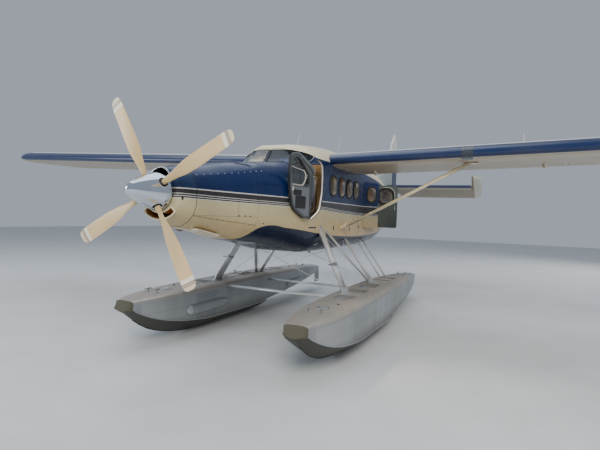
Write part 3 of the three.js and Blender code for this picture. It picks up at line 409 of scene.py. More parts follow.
def glassOf(name, tint, rough=0.03, gleam=0.5):
    material, tree, shader, spot = startMaterial(name)
    worn = useGroup(tree, "weather", Vector=spot, Color=tint, Amount=0.12, Roughness=rough, Grain=30.0)
    feed(tree, worn.outputs["Color"], shader.inputs["Base Color"])
    feed(tree, worn.outputs["Roughness"], shader.inputs["Roughness"])
    shader.inputs["Transmission Weight"].default_value = 0.92
    shader.inputs["IOR"].default_value = 1.45
    shader.inputs["Specular IOR Level"].default_value = gleam
    bumpInto(tree, shader, worn.outputs["Height"], 0.02)
    return material


# Mesh tools
def newObject(name, points, faces, bend=32):
    mesh = bpy.data.meshes.new(name)
    mesh.from_pydata([tuple(float(c) for c in p) for p in points], [], [tuple(f) for f in faces])
    work = bmesh.new()
    work.from_mesh(mesh)
    bmesh.ops.remove_doubles(work, verts=work.verts, dist=1e-5)
    bmesh.ops.recalc_face_normals(work, faces=work.faces)
    work.to_mesh(mesh)
    work.free()
    obj = bpy.data.objects.new(name, mesh)
    ground.objects.link(obj)
    softenEdges(obj, bend)
    return obj


def softenEdges(obj, bend=32):
    obj.data.shade_smooth()
    obj.data.set_sharp_from_angle(angle=math.radians(bend))


def loftFaces(ringCount, count, caps=True, closed=False):
    faces = []
    for r in range(ringCount if closed else ringCount - 1):
        for i in range(count):
            j = (i + 1) % count
            a, b = r * count, ((r + 1) % ringCount) * count
            faces.append((a + i, a + j, b + j, b + i))
    if caps and not closed:
        faces.append(tuple(range(count))[::-1])
        faces.append(tuple((ringCount - 1) * count + i for i in range(count)))
    return faces


def loft(name, rings, caps=True, closed=False, bend=32):
    count = len(rings[0])
    return newObject(name, [p for ring in rings for p in ring],
                     loftFaces(len(rings), count, caps, closed), bend)


def prism(name, axis, outline, low, high, bend=32):
    # [station, height] along x, [x, height] along the stations, [x, station] along z
    lay = {
        "x": lambda u, v, w: place(w, u, v),
        "y": lambda u, v, w: place(u, w, v),
        "z": lambda u, v, w: place(u, v, w),
    }[axis]
    return loft(name, [[lay(u, v, w) for u, v in outline] for w in (low, high)], bend=bend)


def box(name, x, station, z):
    return prism(name, "z", [(x[0], station[0]), (x[1], station[0]), (x[1], station[1]),
                             (x[0], station[1])], *z)


def tube(name, path, radius, sides=16, closed=False, flat=1.0):
    # A round bar along points; radius may change from point to point.
    path = [Vector(p) for p in path]
    last = len(path) - 1
    radii = radius if isinstance(radius, (list, tuple)) else [radius] * len(path)
    rings, side = [], None
    for i, point in enumerate(path):
        before = path[i - 1] if i or closed else path[0]
        after = path[(i + 1) % len(path)] if i < last or closed else path[last]
        way = (after - before).normalized()
        if side is None:
            side = way.orthogonal().normalized()
        side = (side - way * side.dot(way)).normalized()
        other = way.cross(side)
        rings.append([point + radii[i] * (math.cos(t) * side + flat * math.sin(t) * other)
                      for t in angles(sides)])
    return loft(name, rings, caps=not closed, closed=closed, bend=50)


def rod(name, spots, radius, sides=16):
    # A tube through spots of (x, station, height).
    return tube(name, [place(*spot) for spot in spots], radius, sides)


def lathe(name, profile, center, axis="y", sides=64, bend=32):
    # (along, radius) pairs turned about an axis through the centre
    rings = []
    for along, radius in profile:
        ring = []
        for k in range(sides):
            a, b = radius * math.cos(tau * k / sides), radius * math.sin(tau * k / sides)
            x, s, z = center
            ring.append({"y": (x + a, s + along, z + b), "x": (x + along, s + a, z + b),
                         "z": (x + a, s + b, z + along)}[axis])
        rings.append([place(*p) for p in ring])
    return loft(name, rings, bend=bend)


def settle(obj):
    made = bpy.data.meshes.new_from_object(obj.evaluated_get(bpy.context.evaluated_depsgraph_get()))
    obj.modifiers.clear()
    obj.data = made
    return obj


def carve(obj, *cutters, how="DIFFERENCE"):
    for cutter in cutters:
        modifier = obj.modifiers.new("cut", "BOOLEAN")
        modifier.operation = how
        modifier.solver = "EXACT"
        modifier.object = cutter
        settle(obj)
        bpy.data.objects.remove(cutter)
    return obj


def copyOf(obj, name):
    made = bpy.data.objects.new(name, obj.data.copy())
    ground.objects.link(made)
    return made


def joinAll(name, pieces):
    work = bmesh.new()
    materials = []
    for piece in pieces:
        start = len(work.faces)
        work.from_mesh(piece.data)
        work.faces.ensure_lookup_table()
        for face in work.faces[start:]:
            slots = piece.data.materials
            used = slots[face.material_index] if len(slots) else None
            if used not in materials:
                materials.append(used)
            face.material_index = materials.index(used)
        bpy.data.objects.remove(piece)
    mesh = bpy.data.meshes.new(name)
    work.to_mesh(mesh)
    work.free()
    for material in materials:
        mesh.materials.append(material)
    obj = bpy.data.objects.new(name, mesh)
    ground.objects.link(obj)
    return obj


def mirrored(obj, name):
    made = copyOf(obj, name)
    made.data.transform(Matrix.Scale(-1, 4, (1, 0, 0)))
    made.data.flip_normals()
    return made


def swing(obj, pin, degrees):
    center = Vector((pin[0], pin[1], 0))
    turn = Matrix.Translation(center) @ Matrix.Rotation(math.radians(degrees), 4,
        "Z") @ Matrix.Translation(-center)
    obj.data.transform(turn)
    return obj


def dress(obj, body, finish=None, stands=()):
    # Gives a finished piece its material and body, and hides the CAD nodes that it stands for.
    if finish is not None:
        obj.data.materials.clear()
        obj.data.materials.append(finishOf(finish) if isinstance(finish, str) else finish)
    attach(obj, body)
    if stands:
        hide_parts(*stands)
    return obj


def together(name, pieces, finish, body="airframe"):
    return dress(joinAll(name, pieces), body, finish)


def bevelEdges(obj, width, segments=2, angle=35):
    modifier = obj.modifiers.new("bevel", "BEVEL")
    modifier.width = width
    modifier.segments = segments
    modifier.limit_method = "ANGLE"
    modifier.angle_limit = math.radians(angle)
    settle(obj)
    softenEdges(obj, 40)
    return obj


def rounded(points, radius, steps=6):
    # A convex outline with its corners rounded; radius may be one for each corner.
    out = []
    for i, corner in enumerate(points):
        here = np.array(corner, float)
        before, after = (np.array(points[(i + k) % len(points)], float) for k in (-1, 1))
        a, b = before - here, after - here
        la, lb = np.linalg.norm(a), np.linalg.norm(b)
        a, b = a / la, b / lb
        half = math.acos(float(np.clip(a @ b, -1, 1))) / 2
        r = radius[i] if isinstance(radius, (list, tuple)) else radius
        reach = min(r / math.tan(half), la * 0.49, lb * 0.49)
        r = reach * math.tan(half)
        middle = here + (a + b) / np.linalg.norm(a + b) * (r / math.sin(half))
        first, last = here + a * reach - middle, here + b * reach - middle
        t0 = math.atan2(first[1], first[0])
        sweep = (math.atan2(last[1], last[0]) - t0 + math.pi) % tau - math.pi
        for k in range(steps + 1):
            t = t0 + sweep * k / steps
            out.append((middle[0] + r * math.cos(t), middle[1] + r * math.sin(t)))
    return out


def offset(points, gap):
    count = len(points)
    area = sum(a[0] * b[1] - b[0] * a[1] for a, b in zip(points, [*points[1:], points[0]]))
    sign = 1 if area > 0 else -1
    normals = []
    for i in range(count):
        dy, dz = (points[(i + 1) % count][k] - points[i][k] for k in (0, 1))
        length = math.hypot(dy, dz) or 1
        normals.append((sign * dz / length, -sign * dy / length))
    out = []
    for i, (y, z) in enumerate(points):
        a, b = normals[i - 1], normals[i]
        spread = gap / max(0.3, 1 + a[0] * b[0] + a[1] * b[1])
        out.append((y + spread * (a[0] + b[0]), z + spread * (a[1] + b[1])))
    return out


def rectangle(low, high, bottom, top):
    return [(low, bottom), (high, bottom), (high, top), (low, top)]


# Repeated small parts, by geometry nodes
def buildDots(material, name, shape):
    # Small heads along edges: rivets, screws and dots, one tree for each shape.
    tree = bpy.data.node_groups.new(name, "GeometryNodeTree")
    face = tree.interface
    face.new_socket("Geometry", in_out="INPUT", socket_type="NodeSocketGeometry")
    pitch = face.new_socket("Pitch", in_out="INPUT", socket_type=number)
    size = face.new_socket("Radius", in_out="INPUT", socket_type=number)
    face.new_socket("Geometry", in_out="OUTPUT", socket_type="NodeSocketGeometry")
    given, out = addNode(tree, "NodeGroupInput").outputs, addNode(tree, "NodeGroupOutput").inputs
    lines = addNode(tree, "GeometryNodeMeshToCurve")
    spaced = addNode(tree, "GeometryNodeResampleCurve", mode="LENGTH")
    heads = addNode(tree, "GeometryNodeInstanceOnPoints")
    head = addNode(tree, "GeometryNodeMeshIcoSphere")
    head.inputs["Subdivisions"].default_value = shape
    real = addNode(tree, "GeometryNodeRealizeInstances")
    smooth = addNode(tree, "GeometryNodeSetShadeSmooth")
    paint = addNode(tree, "GeometryNodeSetMaterial")
    paint.inputs["Material"].default_value = material
    feed(tree, given["Geometry"], lines.inputs["Mesh"])
    feed(tree, lines.outputs[0], spaced.inputs["Curve"])
    feed(tree, given["Pitch"], spaced.inputs["Length"])
    feed(tree, spaced.outputs[0], heads.inputs["Points"])
    feed(tree, given["Radius"], head.inputs["Radius"])
    feed(tree, head.outputs["Mesh"], heads.inputs["Instance"])
    feed(tree, heads.outputs[0], real.inputs[0])
    feed(tree, real.outputs[0], smooth.inputs[0])
    feed(tree, smooth.outputs[0], paint.inputs[0])
    feed(tree, paint.outputs[0], out["Geometry"])
    return tree, pitch.identifier, size.identifier


def dotsAlong(name, lines, pitch, radius, finish, body, shape=1):
    points, edges = [], []
    for line in lines:
        start = len(points)
        points += [tuple(p) for p in line]
        edges += [(start + i, start + i + 1) for i in range(len(line) - 1)]
    mesh = bpy.data.meshes.new(name)
    mesh.from_pydata(points, edges, [])
    obj = bpy.data.objects.new(name, mesh)
    ground.objects.link(obj)
    material = finishOf(finish) if isinstance(finish, str) else finish
    tree, pitchKey, sizeKey = buildDots(material, name, shape)
    modifier = obj.modifiers.new("dots", "NODES")
    modifier.node_group = tree
    modifier[pitchKey] = pitch
    modifier[sizeKey] = radius
    settle(obj)
    return dress(obj, body)


# Fuselage skin
# station, half width, top, bottom, upper radius, lower radius, power of the upper corners
skinTable = np.array([
    (0.15, 0.300, 0.290, -0.360, 0.285, 0.285, 2.0),
    (0.26, 0.345, 0.325, -0.395, 0.310, 0.320, 2.0),
    (0.40, 0.385, 0.355, -0.445, 0.330, 0.350, 2.0),
    (0.80, 0.450, 0.415, -0.505, 0.350, 0.380, 2.0),
    (1.20, 0.530, 0.490, -0.575, 0.360, 0.400, 2.0),
    (1.60, 0.610, 0.545, -0.650, 0.360, 0.420, 2.0),
    (2.20, 0.715, 0.622, -0.720, 0.440, 0.420, 2.0),
    (2.60, 0.765, 0.676, -0.780, 0.440, 0.400, 2.0),
    (2.78, 0.778, 0.695, -0.815, 0.440, 0.390, 1.9),
    (3.07, 0.792, 0.968, -0.867, 0.560, 0.375, 1.3),
    (3.13, 0.794, 1.052, -0.876, 0.570, 0.372, 1.3),
    (3.43, 0.800, 1.090, -0.920, 0.440, 0.360, 1.8),
    (4.086, 0.800, 1.155, -0.930, 0.410, 0.350, 2.0),
    (4.70, 0.800, 1.190, -0.930, 0.390, 0.350, 2.0),
    (6.30, 0.800, 1.175, -0.920, 0.370, 0.350, 2.0),
    (7.70, 0.770, 1.120, -0.880, 0.340, 0.340, 2.0),
    (8.60, 0.690, 1.060, -0.790, 0.320, 0.320, 2.0),
    (9.97, 0.520, 0.860, -0.520, 0.250, 0.280, 2.0),
    (11.30, 0.330, 0.760, -0.190, 0.170, 0.190, 2.0),
    (12.90, 0.100, 0.750, 0.270, 0.060, 0.070, 2.0),
])


def smoothTable(table, at):
    # Monotone cubic through each column of a table whose first column rises.
    at = np.clip(np.atleast_1d(np.asarray(at, float)), table[0, 0], table[-1, 0])
    x, y = table[:, 0], table[:, 1:]
    step = np.diff(x)[:, None]
    slope = np.diff(y, axis=0) / step
    tilt = np.zeros_like(y)
    tilt[0], tilt[-1] = slope[0], slope[-1]
    a, b = slope[:-1], slope[1:]
    w1, w2 = 2 * step[1:] + step[:-1], step[1:] + 2 * step[:-1]
    same = a * b > 0
    with np.errstate(divide="ignore", invalid="ignore"):
        tilt[1:-1] = np.where(same, (w1 + w2) / (w1 / np.where(same, a, 1) + w2 / np.where(same, b, 1)), 0)
    k = np.clip(np.searchsorted(x, at, side="right") - 1, 0, len(x) - 2)
    h = (x[k + 1] - x[k])[:, None]
    t = ((at - x[k])[:, None]) / h
    return ((1 + 2 * t) * (1 - t) ** 2 * y[k] + t * (1 - t) ** 2 * h * tilt[k]
            + t * t * (3 - 2 * t) * y[k + 1] + t * t * (t - 1) * h * tilt[k + 1])


def skinRing(station, inset=0.0, steps=14):
    half, top, bottom, upper, lower, power = smoothTable(skinTable, station)[0]
    half, top, bottom = half - inset, top - inset, bottom + inset
    upper, lower = min(upper - inset / 2, half - 0.001), min(lower - inset / 2, half - 0.001)
    out = []
    for x, z, radius, turn in ((half, top, upper, 0), (-half, top, upper, 90), (-half, bottom, lower, 180),
                               (half, bottom, lower, 270)):
        bend = 2 / (power if turn < 180 else 2)
        for i in range(steps + 1):
            t = math.radians(turn + 90 * i / steps)
            reach = lambda v: math.copysign(radius * abs(v) ** bend, v) if abs(v) > 1e-9 else 0.0
            out.append(place(x - math.copysign(radius, x) + reach(math.cos(t)), station,
                             z + (-radius if turn < 180 else radius) + reach(math.sin(t))))
    return out


def skinField(x, station, z):
    # Rises outwards through 0 at the skin.
    half, top, bottom, upper, lower, power = smoothTable(skinTable, station).T
    up = z > (top + bottom) / 2
    radius = np.where(up, upper, lower)
    n = np.where(up, power, 2.0)
    dx = np.abs(x) - (half - radius)
    dz = np.where(up, z - (top - radius), (bottom + radius) - z)
    corner = (np.maximum(dx, 0) ** n + np.maximum(dz, 0) ** n) ** (1 / n)
    return np.where((dx > 0) & (dz > 0), corner, np.maximum(dx, dz)) - radius


def skinNormal(points):
    x, s, z = points[:, 0], points[:, 1] - stationShift, points[:, 2] - heightShift
    h = 0.002
    way = np.stack([skinField(x + h, s, z) - skinField(x - h, s, z),
                    skinField(x, s + h, z) - skinField(x, s - h, z),
                    skinField(x, s, z + h) - skinField(x, s, z - h)], axis=1)
    return way / np.maximum(np.linalg.norm(way, axis=1, keepdims=True), 1e-9)


def skinStations(low, high, spacing=0.09):
    cuts = [s for s in skinTable[:, 0] if low < s < high]
    marks = [low, *cuts, high]
    out = []
    for a, b in zip(marks, marks[1:]):
        out += list(np.linspace(a, b, max(2, math.ceil((b - a) / spacing)) + 1)[:-1])
    return out + [high]


def skinShell(name, low, high, thick):
    stations = skinStations(low, high)
    rings = [skinRing(s) for s in stations] + [skinRing(s, thick) for s in reversed(stations)]
    return loft(name, rings, closed=True)


def skinSkin(obj, thick, outer, inner, rim):
    # Smooth normals from the skin's own shape, and a material each for outside, inside and cut edges.
    mesh = obj.data
    mesh.materials.clear()
    for material in (outer, inner, rim):
        mesh.materials.append(material)
    count = len(mesh.vertices)
    points = np.zeros(count * 3)
    mesh.vertices.foreach_get("co", points)
    points = points.reshape(-1, 3)
    normals = skinNormal(points)
    depth = skinField(points[:, 0], points[:, 1] - stationShift, points[:, 2] - heightShift)
    loops = [None] * len(mesh.loops)
    for face in mesh.polygons:
        face.use_smooth = True
        at = list(face.vertices)
        flat = np.array(face.normal)
        mean = normals[at].mean(axis=0)
        along = float(flat @ mean)
        outside = along > 0.86 and float(np.abs(depth[at]).max()) < 0.006
        inside = along < -0.86 and float(depth[at].max()) < -0.5 * thick
        face.material_index = 0 if outside else 1 if inside else 2
        for loop, vertex in zip(face.loop_indices, at):
            loops[loop] = tuple(normals[vertex] if outside else -normals[vertex] if inside else flat)
    mesh.normals_split_custom_set(loops)
    return obj


# Fuselage
doorGap = 0.008
shellWall = 0.04
glassDepth = 0.012
glassThick = 0.008
cockpitCorners = [(3.0, -0.29), (3.23, -0.29), (3.62, -0.13), (3.73, 0.2), (3.745, 0.45), (3.72, 0.73),
                  (3.6, 0.81), (3.5, 0.81), (3.36, 0.77), (3.0, 0.55)]
cockpitRounds = [0.05, 0.12, 0.25, 0.4, 0.4, 0.12, 0.08, 0.08, 0.2, 0.14]
paneCorners = [(3.08, 0.285), (3.63, 0.285), (3.66, 0.48), (3.63, 0.7), (3.55, 0.735),
               (3.42, 0.725), (3.08, 0.49)]
paneRounds = [0.05, 0.06, 0.4, 0.06, 0.06, 0.07, 0.05]
windshieldCorners = [(2.79, 0.705), (3.01, 0.6), (3.39, 0.835), (3.405, 0.862), (3.31, 0.903),
                     (3.23, 0.934), (3.11, 0.952), (2.79, 0.985)]
windshieldRounds = [0.001, 0.04, 0.02, 0.02, 0.1, 0.1, 0.1, 0.001]
centrePost = 0.024
windowMiddles = [4.29, 4.825, 5.325, 5.835]
windowLook = {"width": 0.38, "sill": 0.19, "head": 0.59, "round": 0.15}
cargoPanes = [(6.62, 7.0, 0.17, 0.55), (7.23, 7.61, 0.17, 0.55)]
cabinPane = (6.67, 7.05, 0.19, 0.59)
pins = {
    "cockpit_door_port": {"pin": (0.802621, -3.62), "angle": -184},
    "cargo_door_fore": {"pin": (0.809714, -0.12), "angle": -22},
    "cargo_door_aft": {"pin": (0.784, 1.08), "angle": 90},
}


def cockpitOutline(gap=0.0):
    return offset(rounded(cockpitCorners, cockpitRounds), gap)


def paneOutline(gap=0.0):
    return offset(rounded(paneCorners, paneRounds), gap)


def slot2d(low, high, bottom, top, radius, gap=0.0):
    return rounded(rectangle(low - gap, high + gap, bottom - gap, top + gap), radius + gap, 8)


def windowOutline(middle, gap=0.0):
    half = windowLook["width"] / 2
    return slot2d(middle - half, middle + half, windowLook["sill"], windowLook["head"],
                  windowLook["round"], gap)


def sideCut(outline, low=0.3, high=1.4):
    return prism("cut", "x", outline, low, high)


def windshieldCut(gap=0.0):
    return sideCut(offset(rounded(windshieldCorners, windshieldRounds, 4), gap), centrePost - gap, 1.4)


# Wing section, also used for the holes that the wings leave in the roof
wing = {"leading": 4.086, "chord": 1.98, "height": 0.879, "root": 0.8, "rise": 2.0, "turn": 2.5,
        "camber": 0.04, "thick": 0.16, "start": 8.4, "spar": 5.5116}
tipTable = np.array([(0, 1.0), (0.16, 0.95), (0.3, 0.84), (0.4, 0.64), (0.44, 0.34)])


def aerofoil(length, camber, thick, steps=30):
    crest = 0.4
    sides = []
    for sign in (1, -1):
        side = []
        for i in range(steps + 1):
            t = (1 - math.cos(i / steps * math.pi)) / 2
            half = 5 * thick * (0.2969 * math.sqrt(t) - 0.126 * t - 0.3516 * t ** 2
                                + 0.2843 * t ** 3 - 0.1015 * t ** 4)
            mean = (camber / crest ** 2 * (2 * crest * t - t * t) if t < crest
                    else camber / (1 - crest) ** 2 * (1 - 2 * crest + 2 * crest * t - t * t))
            side.append((length * t, length * (mean + sign * half)))
        sides.append(side)
    return sides[0][::-1] + sides[1][1:]


def wingRise(x):
    return wing["height"] + math.tan(math.radians(wing["rise"])) * (abs(x) - wing["root"])


def wingRing(x, scale=1.0, margin=0.0, steps=30):
    length = wing["chord"] * scale
    turn = -math.radians(wing["turn"])
    shift = (wing["chord"] - length) * 0.45
    out = []
    for y, z in aerofoil(length, wing["camber"], wing["thick"], steps):
        grown = z + math.copysign(margin, z)
        back = y + shift + (margin if y > length / 2 else -margin)
        out.append(place(x, wing["leading"] + back * math.cos(turn) - grown * math.sin(turn),
                         wingRise(x) + back * math.sin(turn) + grown * math.cos(turn)))
    return out


def heightOn(points, station):
    spots = [(p[1] - stationShift, p[2] - heightShift) for p in points]
    for (s0, z0), (s1, z1) in zip(spots, spots[1:]):
        if s1 >= station:
            return z0 + (z1 - z0) * (station - s0) / (s1 - s0)


def underWing(x, station):
    return heightOn(wingRing(x)[31:], station)


def topWing(x, station):
    return heightOn(wingRing(x)[:31][::-1], station)


def wingRoom(side):
    return loft("room", [wingRing(0.0 if side > 0 else -1.4, margin=0.0004),
                         wingRing(1.4 if side > 0 else 0.0, margin=0.0004)])


skinPaint = bodyPaint("navyCreamSkin")
bare = {"lining": finishOf("cabinLining"), "jamb": finishOf("jambGray"), "seal": finishOf("gasketRubber"),
        "door": finishOf("doorLining")}


def buildFuselage():
    shell = skinShell("fuselageSkin", 1.63, 12.69, shellWall)
    cuts = [sideCut(windowOutline(m), -1.4, 1.4) for m in windowMiddles]
    cuts += [sideCut(cockpitOutline(), 0.3, 1.4), sideCut(cockpitOutline(), -1.4, -0.3)]
    cuts += [sideCut(slot2d(6.5, 7.7, -0.48, 0.66, 0.06)),
             sideCut(slot2d(6.5, 7.22, -0.48, 0.66, 0.08), -1.4, -0.3)]
    carve(shell, *cuts)
    pane = windshieldCut()
    carve(shell, mirrored(pane, "cut"), pane)
    carve(shell, wingRoom(1), wingRoom(-1))
    skinSkin(shell, shellWall, skinPaint, bare["lining"], bare["jamb"])
    plug = loft("tailPlug", [skinRing(12.66, 0.002), skinRing(12.69, 0.0), skinRing(12.692, 0.006)])
    dress(shell, "airframe", None, ("cockpit_shell", "cabin_shell", "tail_cone"))
    dress(plug, "airframe", skinPaint)


def domePane(name, outline, side=1, bulge=0.055, base=0.79, foot=0.735, steps=7):
    # A blown pane with an even wall, open towards the cabin.
    points, faces, edges = [], [], []
    count = len(outline)
    for shell in (0.0, glassThick):
        start = len(points)
        rings = [(foot, 0.004 + shell)]
        for k in range(steps + 1):
            t = math.pi / 2 * k / steps
            rings.append((base + bulge * math.sin(t) - shell, 0.004 + shell + (1 - math.cos(t)) * 0.13))
        for x, shrink in rings:
            points += [place(side * x, y, z) for y, z in offset(outline, -shrink)]
        faces += [tuple(start + i for i in face) for face in loftFaces(len(rings), count, caps=False)]
        top = start + (len(rings) - 1) * count
        faces.append(tuple(range(top, top + count)))
        edges.append(start)
    for i in range(count):
        j = (i + 1) % count
        faces.append((edges[0] + i, edges[0] + j, edges[1] + j, edges[1] + i))
    return newObject(name, points, faces, bend=50)


@lru_cache(maxsize=None)
def skinSpot(station, z):
    # Where the port side of the skin lies at a height, and which way it faces there.
    half, top, bottom, upper, lower, power = smoothTable(skinTable, station)[0]
    high = z > (top + bottom) / 2
    radius, power = (upper, power) if high else (lower, 2.0)
    past = max(0.0, z - (top - upper) if high else bottom + lower - z)
    x = half - radius + max(0.0, radius ** power - past ** power) ** (1 / power)
    spot = np.array([place(x, station, z)])
    return spot[0], skinNormal(spot)[0]


def skinPoint(station, z, out=0.0, side=1):
    # A point on the skin at a height, or off it by some distance.
    spot, away = skinSpot(float(station), float(z))
    found = spot + away * out
    return (side * found[0], found[1], found[2])


def doorLeaf(name, outline, pane, side=1):
    leaf = skinShell(name, 2.6 if pane == "cockpit" else 6.3, 4.1 if pane == "cockpit" else 8.0, shellWall)
    cut = (0.3, 1.4) if side > 0 else (-1.4, -0.3)
    carve(leaf, sideCut(outline, *cut), how="INTERSECT")
    return leaf


def finishDoor(leaf, name):
    turn = pins.get(name)
    paint = bodyPaint(name + "Skin", turn) if turn else skinPaint
    # Cargo and cabin leaves get a lining set dark as painted shade.
    skinSkin(leaf, shellWall, paint, bare["door"] if "cockpit" in name else finishOf("cargoLiningShaded"),
             bare["seal"])
    if turn:
        swing(leaf, turn["pin"], turn["angle"])
    return dress(leaf, name, None, (name,))


def turnWith(obj, name):
    if name in pins:
        swing(obj, pins[name]["pin"], pins[name]["angle"])
    return obj


def glassLayer(name):
    # A sheet just under the skin's face, which the callers cut to an outline.
    layer = loft(name, [skinRing(s, glassDepth) for s in skinStations(2.1, 4.1)] + [skinRing(s,
        glassDepth + glassThick) for s in reversed(skinStations(2.1, 4.1))], closed=True)
    return layer


def smoothGlass(obj):
    mesh = obj.data
    points = np.zeros(len(mesh.vertices) * 3)
    mesh.vertices.foreach_get("co", points)
    normals = skinNormal(points.reshape(-1, 3))
    loops = [None] * len(mesh.loops)
    for face in mesh.polygons:
        face.use_smooth = True
        flat = np.array(face.normal)
        at = list(face.vertices)
        along = float(flat @ normals[at].mean(axis=0))
        for loop, vertex in zip(face.loop_indices, at):
            loops[loop] = tuple(normals[vertex] * math.copysign(1,
                along)) if abs(along) > 0.8 else tuple(flat)
    mesh.normals_split_custom_set(loops)
    return obj


cabinGlass = glassOf("bronzeCabinGlass", (0.42, 0.37, 0.30, 1))
doorGlass = glassOf("smokedDoorGlass", (0.30, 0.33, 0.36, 1))
# One windshield glass in two copies: the port pane dark with little gloss as painted shade, the starboard
# pane pale blue and glossier as a painted sky reflection.
screenGlassShadeAndSky = {"port": glassOf("portScreenGlassShaded", (0.045, 0.075, 0.11, 1), 0.03, 0.05),
               "starboard": glassOf("starboardScreenGlassSky", (0.30, 0.38, 0.50, 1), 0.05, 0.35)}


def buildDoors():
    cockpit = doorLeaf("cockpitLeaf", cockpitOutline(-doorGap), "cockpit")
    carve(cockpit, sideCut(paneOutline()))
    starboard = mirrored(cockpit, "cockpitLeafStarboard")
    finishDoor(cockpit, "cockpit_door_port")
    finishDoor(starboard, "cockpit_door_starboard")
    pane = carve(glassLayer("cockpitPane"), sideCut(paneOutline(-0.0005)), how="INTERSECT")
    other = mirrored(pane, "cockpitPaneStarboard")
    smoothGlass(pane)
    smoothGlass(other)
    turnWith(pane, "cockpit_door_port")
    dress(pane, "cockpit_door_port", doorGlass, ("cockpit_glass_port",))
    dress(other, "cockpit_door_starboard", doorGlass, ("cockpit_glass_starboard",))
    for name, reach, opening in (("cargo_door_fore", (6.5, 7.116), cargoPanes[0]),
                                 ("cargo_door_aft", (7.108, 7.7), cargoPanes[1]),
                                 ("cabin_door_starboard", (6.5, 7.22), cabinPane)):
        side = -1 if "starboard" in name else 1
        leaf = doorLeaf(name + "_leaf", slot2d(*reach, -0.48, 0.66, 0.06, -doorGap), "cargo", side)
        outline = slot2d(*opening, 0.15)
        carve(leaf, sideCut(outline, -1.4, 1.4))
        finishDoor(leaf, name)
        half = float(smoothTable(skinTable, (opening[0] + opening[1]) / 2)[0][0])
        dome = domePane(name + "_dome", outline, side, 0.05, half - 0.012, half - 0.052)
        seal = tube(name + "_seal", [place(side * (half + 0.003), y, z) for y, z in offset(outline, 0.006)],
                    0.015, 10, closed=True)
        inner = tube(name + "_trim", [place(side * (half - 0.045), y, z) for y, z in offset(outline, 0.02)],
                     0.02, 10, closed=True)
        ring = tube(name + "_ring", [place(side * (half - 0.036), y, z) for y, z in offset(outline, 0.05)],
                    0.008, 8, closed=True)
        for piece, finish in ((dome, cabinGlass), (seal, "gasketRubber"), (inner, "gasketRubber"),
                              (ring, "palePlastic")):
            dress(turnWith(piece, name), name, finish)


def buildWindows():
    screen = carve(glassLayer("screenPanes"), windshieldCut(-0.0005), how="INTERSECT")
    other = mirrored(screen, "screenPanesStarboard")
    for piece, side in ((screen, "port"), (other, "starboard")):
        smoothGlass(piece)
        dress(piece, "airframe", screenGlassShadeAndSky[side], (f"windshield_{side}",))
    for side, name in ((1, "port"), (-1, "starboard")):
        domes, seals = [], []
        for middle in windowMiddles:
            outline = windowOutline(middle)
            domes.append(domePane("dome", outline, side))
            seals.append(tube("seal", [place(side * 0.803, y, z) for y, z in offset(outline, 0.006)], 0.015,
                              10, closed=True))
            seals.append(tube("trim", [place(side * 0.752, y, z) for y, z in offset(outline, 0.012)], 0.016,
                              10, closed=True))
        row = joinAll(f"bubbleWindows_{name}", domes)
        dress(row, "airframe", cabinGlass, (f"window_row_{name}",))
        together(f"windowSeals_{name}", seals, "gasketRubber")


# Nose and cowling
nose = {"wall": 0.025, "intake": (0.138, 0.17), "hub": 0.14, "chin": (0.255, 0.345, 205, 335, -0.008),
        "lip": 0.05, "mouth": (224, 316)}


def circle2d(x, z, radius, count=48):
    return [(x + radius * math.cos(tau * k / count),
             z + radius * math.sin(tau * k / count)) for k in range(count)]


def crescent(gap=0.0, count=40, ends=None):
    inner, outer, low, high, z = nose["chin"]
    low, high = ends or (low, high)
    inner, outer = inner - gap, outer + gap
    turn = math.degrees(gap / 0.3)
    turns = [math.radians(low - turn + (high - low + 2 * turn) * k / count) for k in range(count + 1)]
    points = [(outer * math.cos(t), z + outer * math.sin(t)) for t in turns]
    points += [(inner * math.cos(t), z + inner * math.sin(t)) for t in reversed(turns)]
    return rounded([tuple(p) for p in points], [0.035 if i in (0, count, count + 1,
        2 * count + 1) else 0.001 for i in range(len(points))], 3)


def insideSkin(x, station, z, deep):
    # Draws a point in towards the middle until it lies some depth inside the skin.
    middle = -0.1
    for _ in range(60):
        if float(skinField(np.array([x]), np.array([station]), np.array([z]))[0]) < -deep:
            break
        x, z = x * 0.985, middle + (z - middle) * 0.985
    return x, station, z


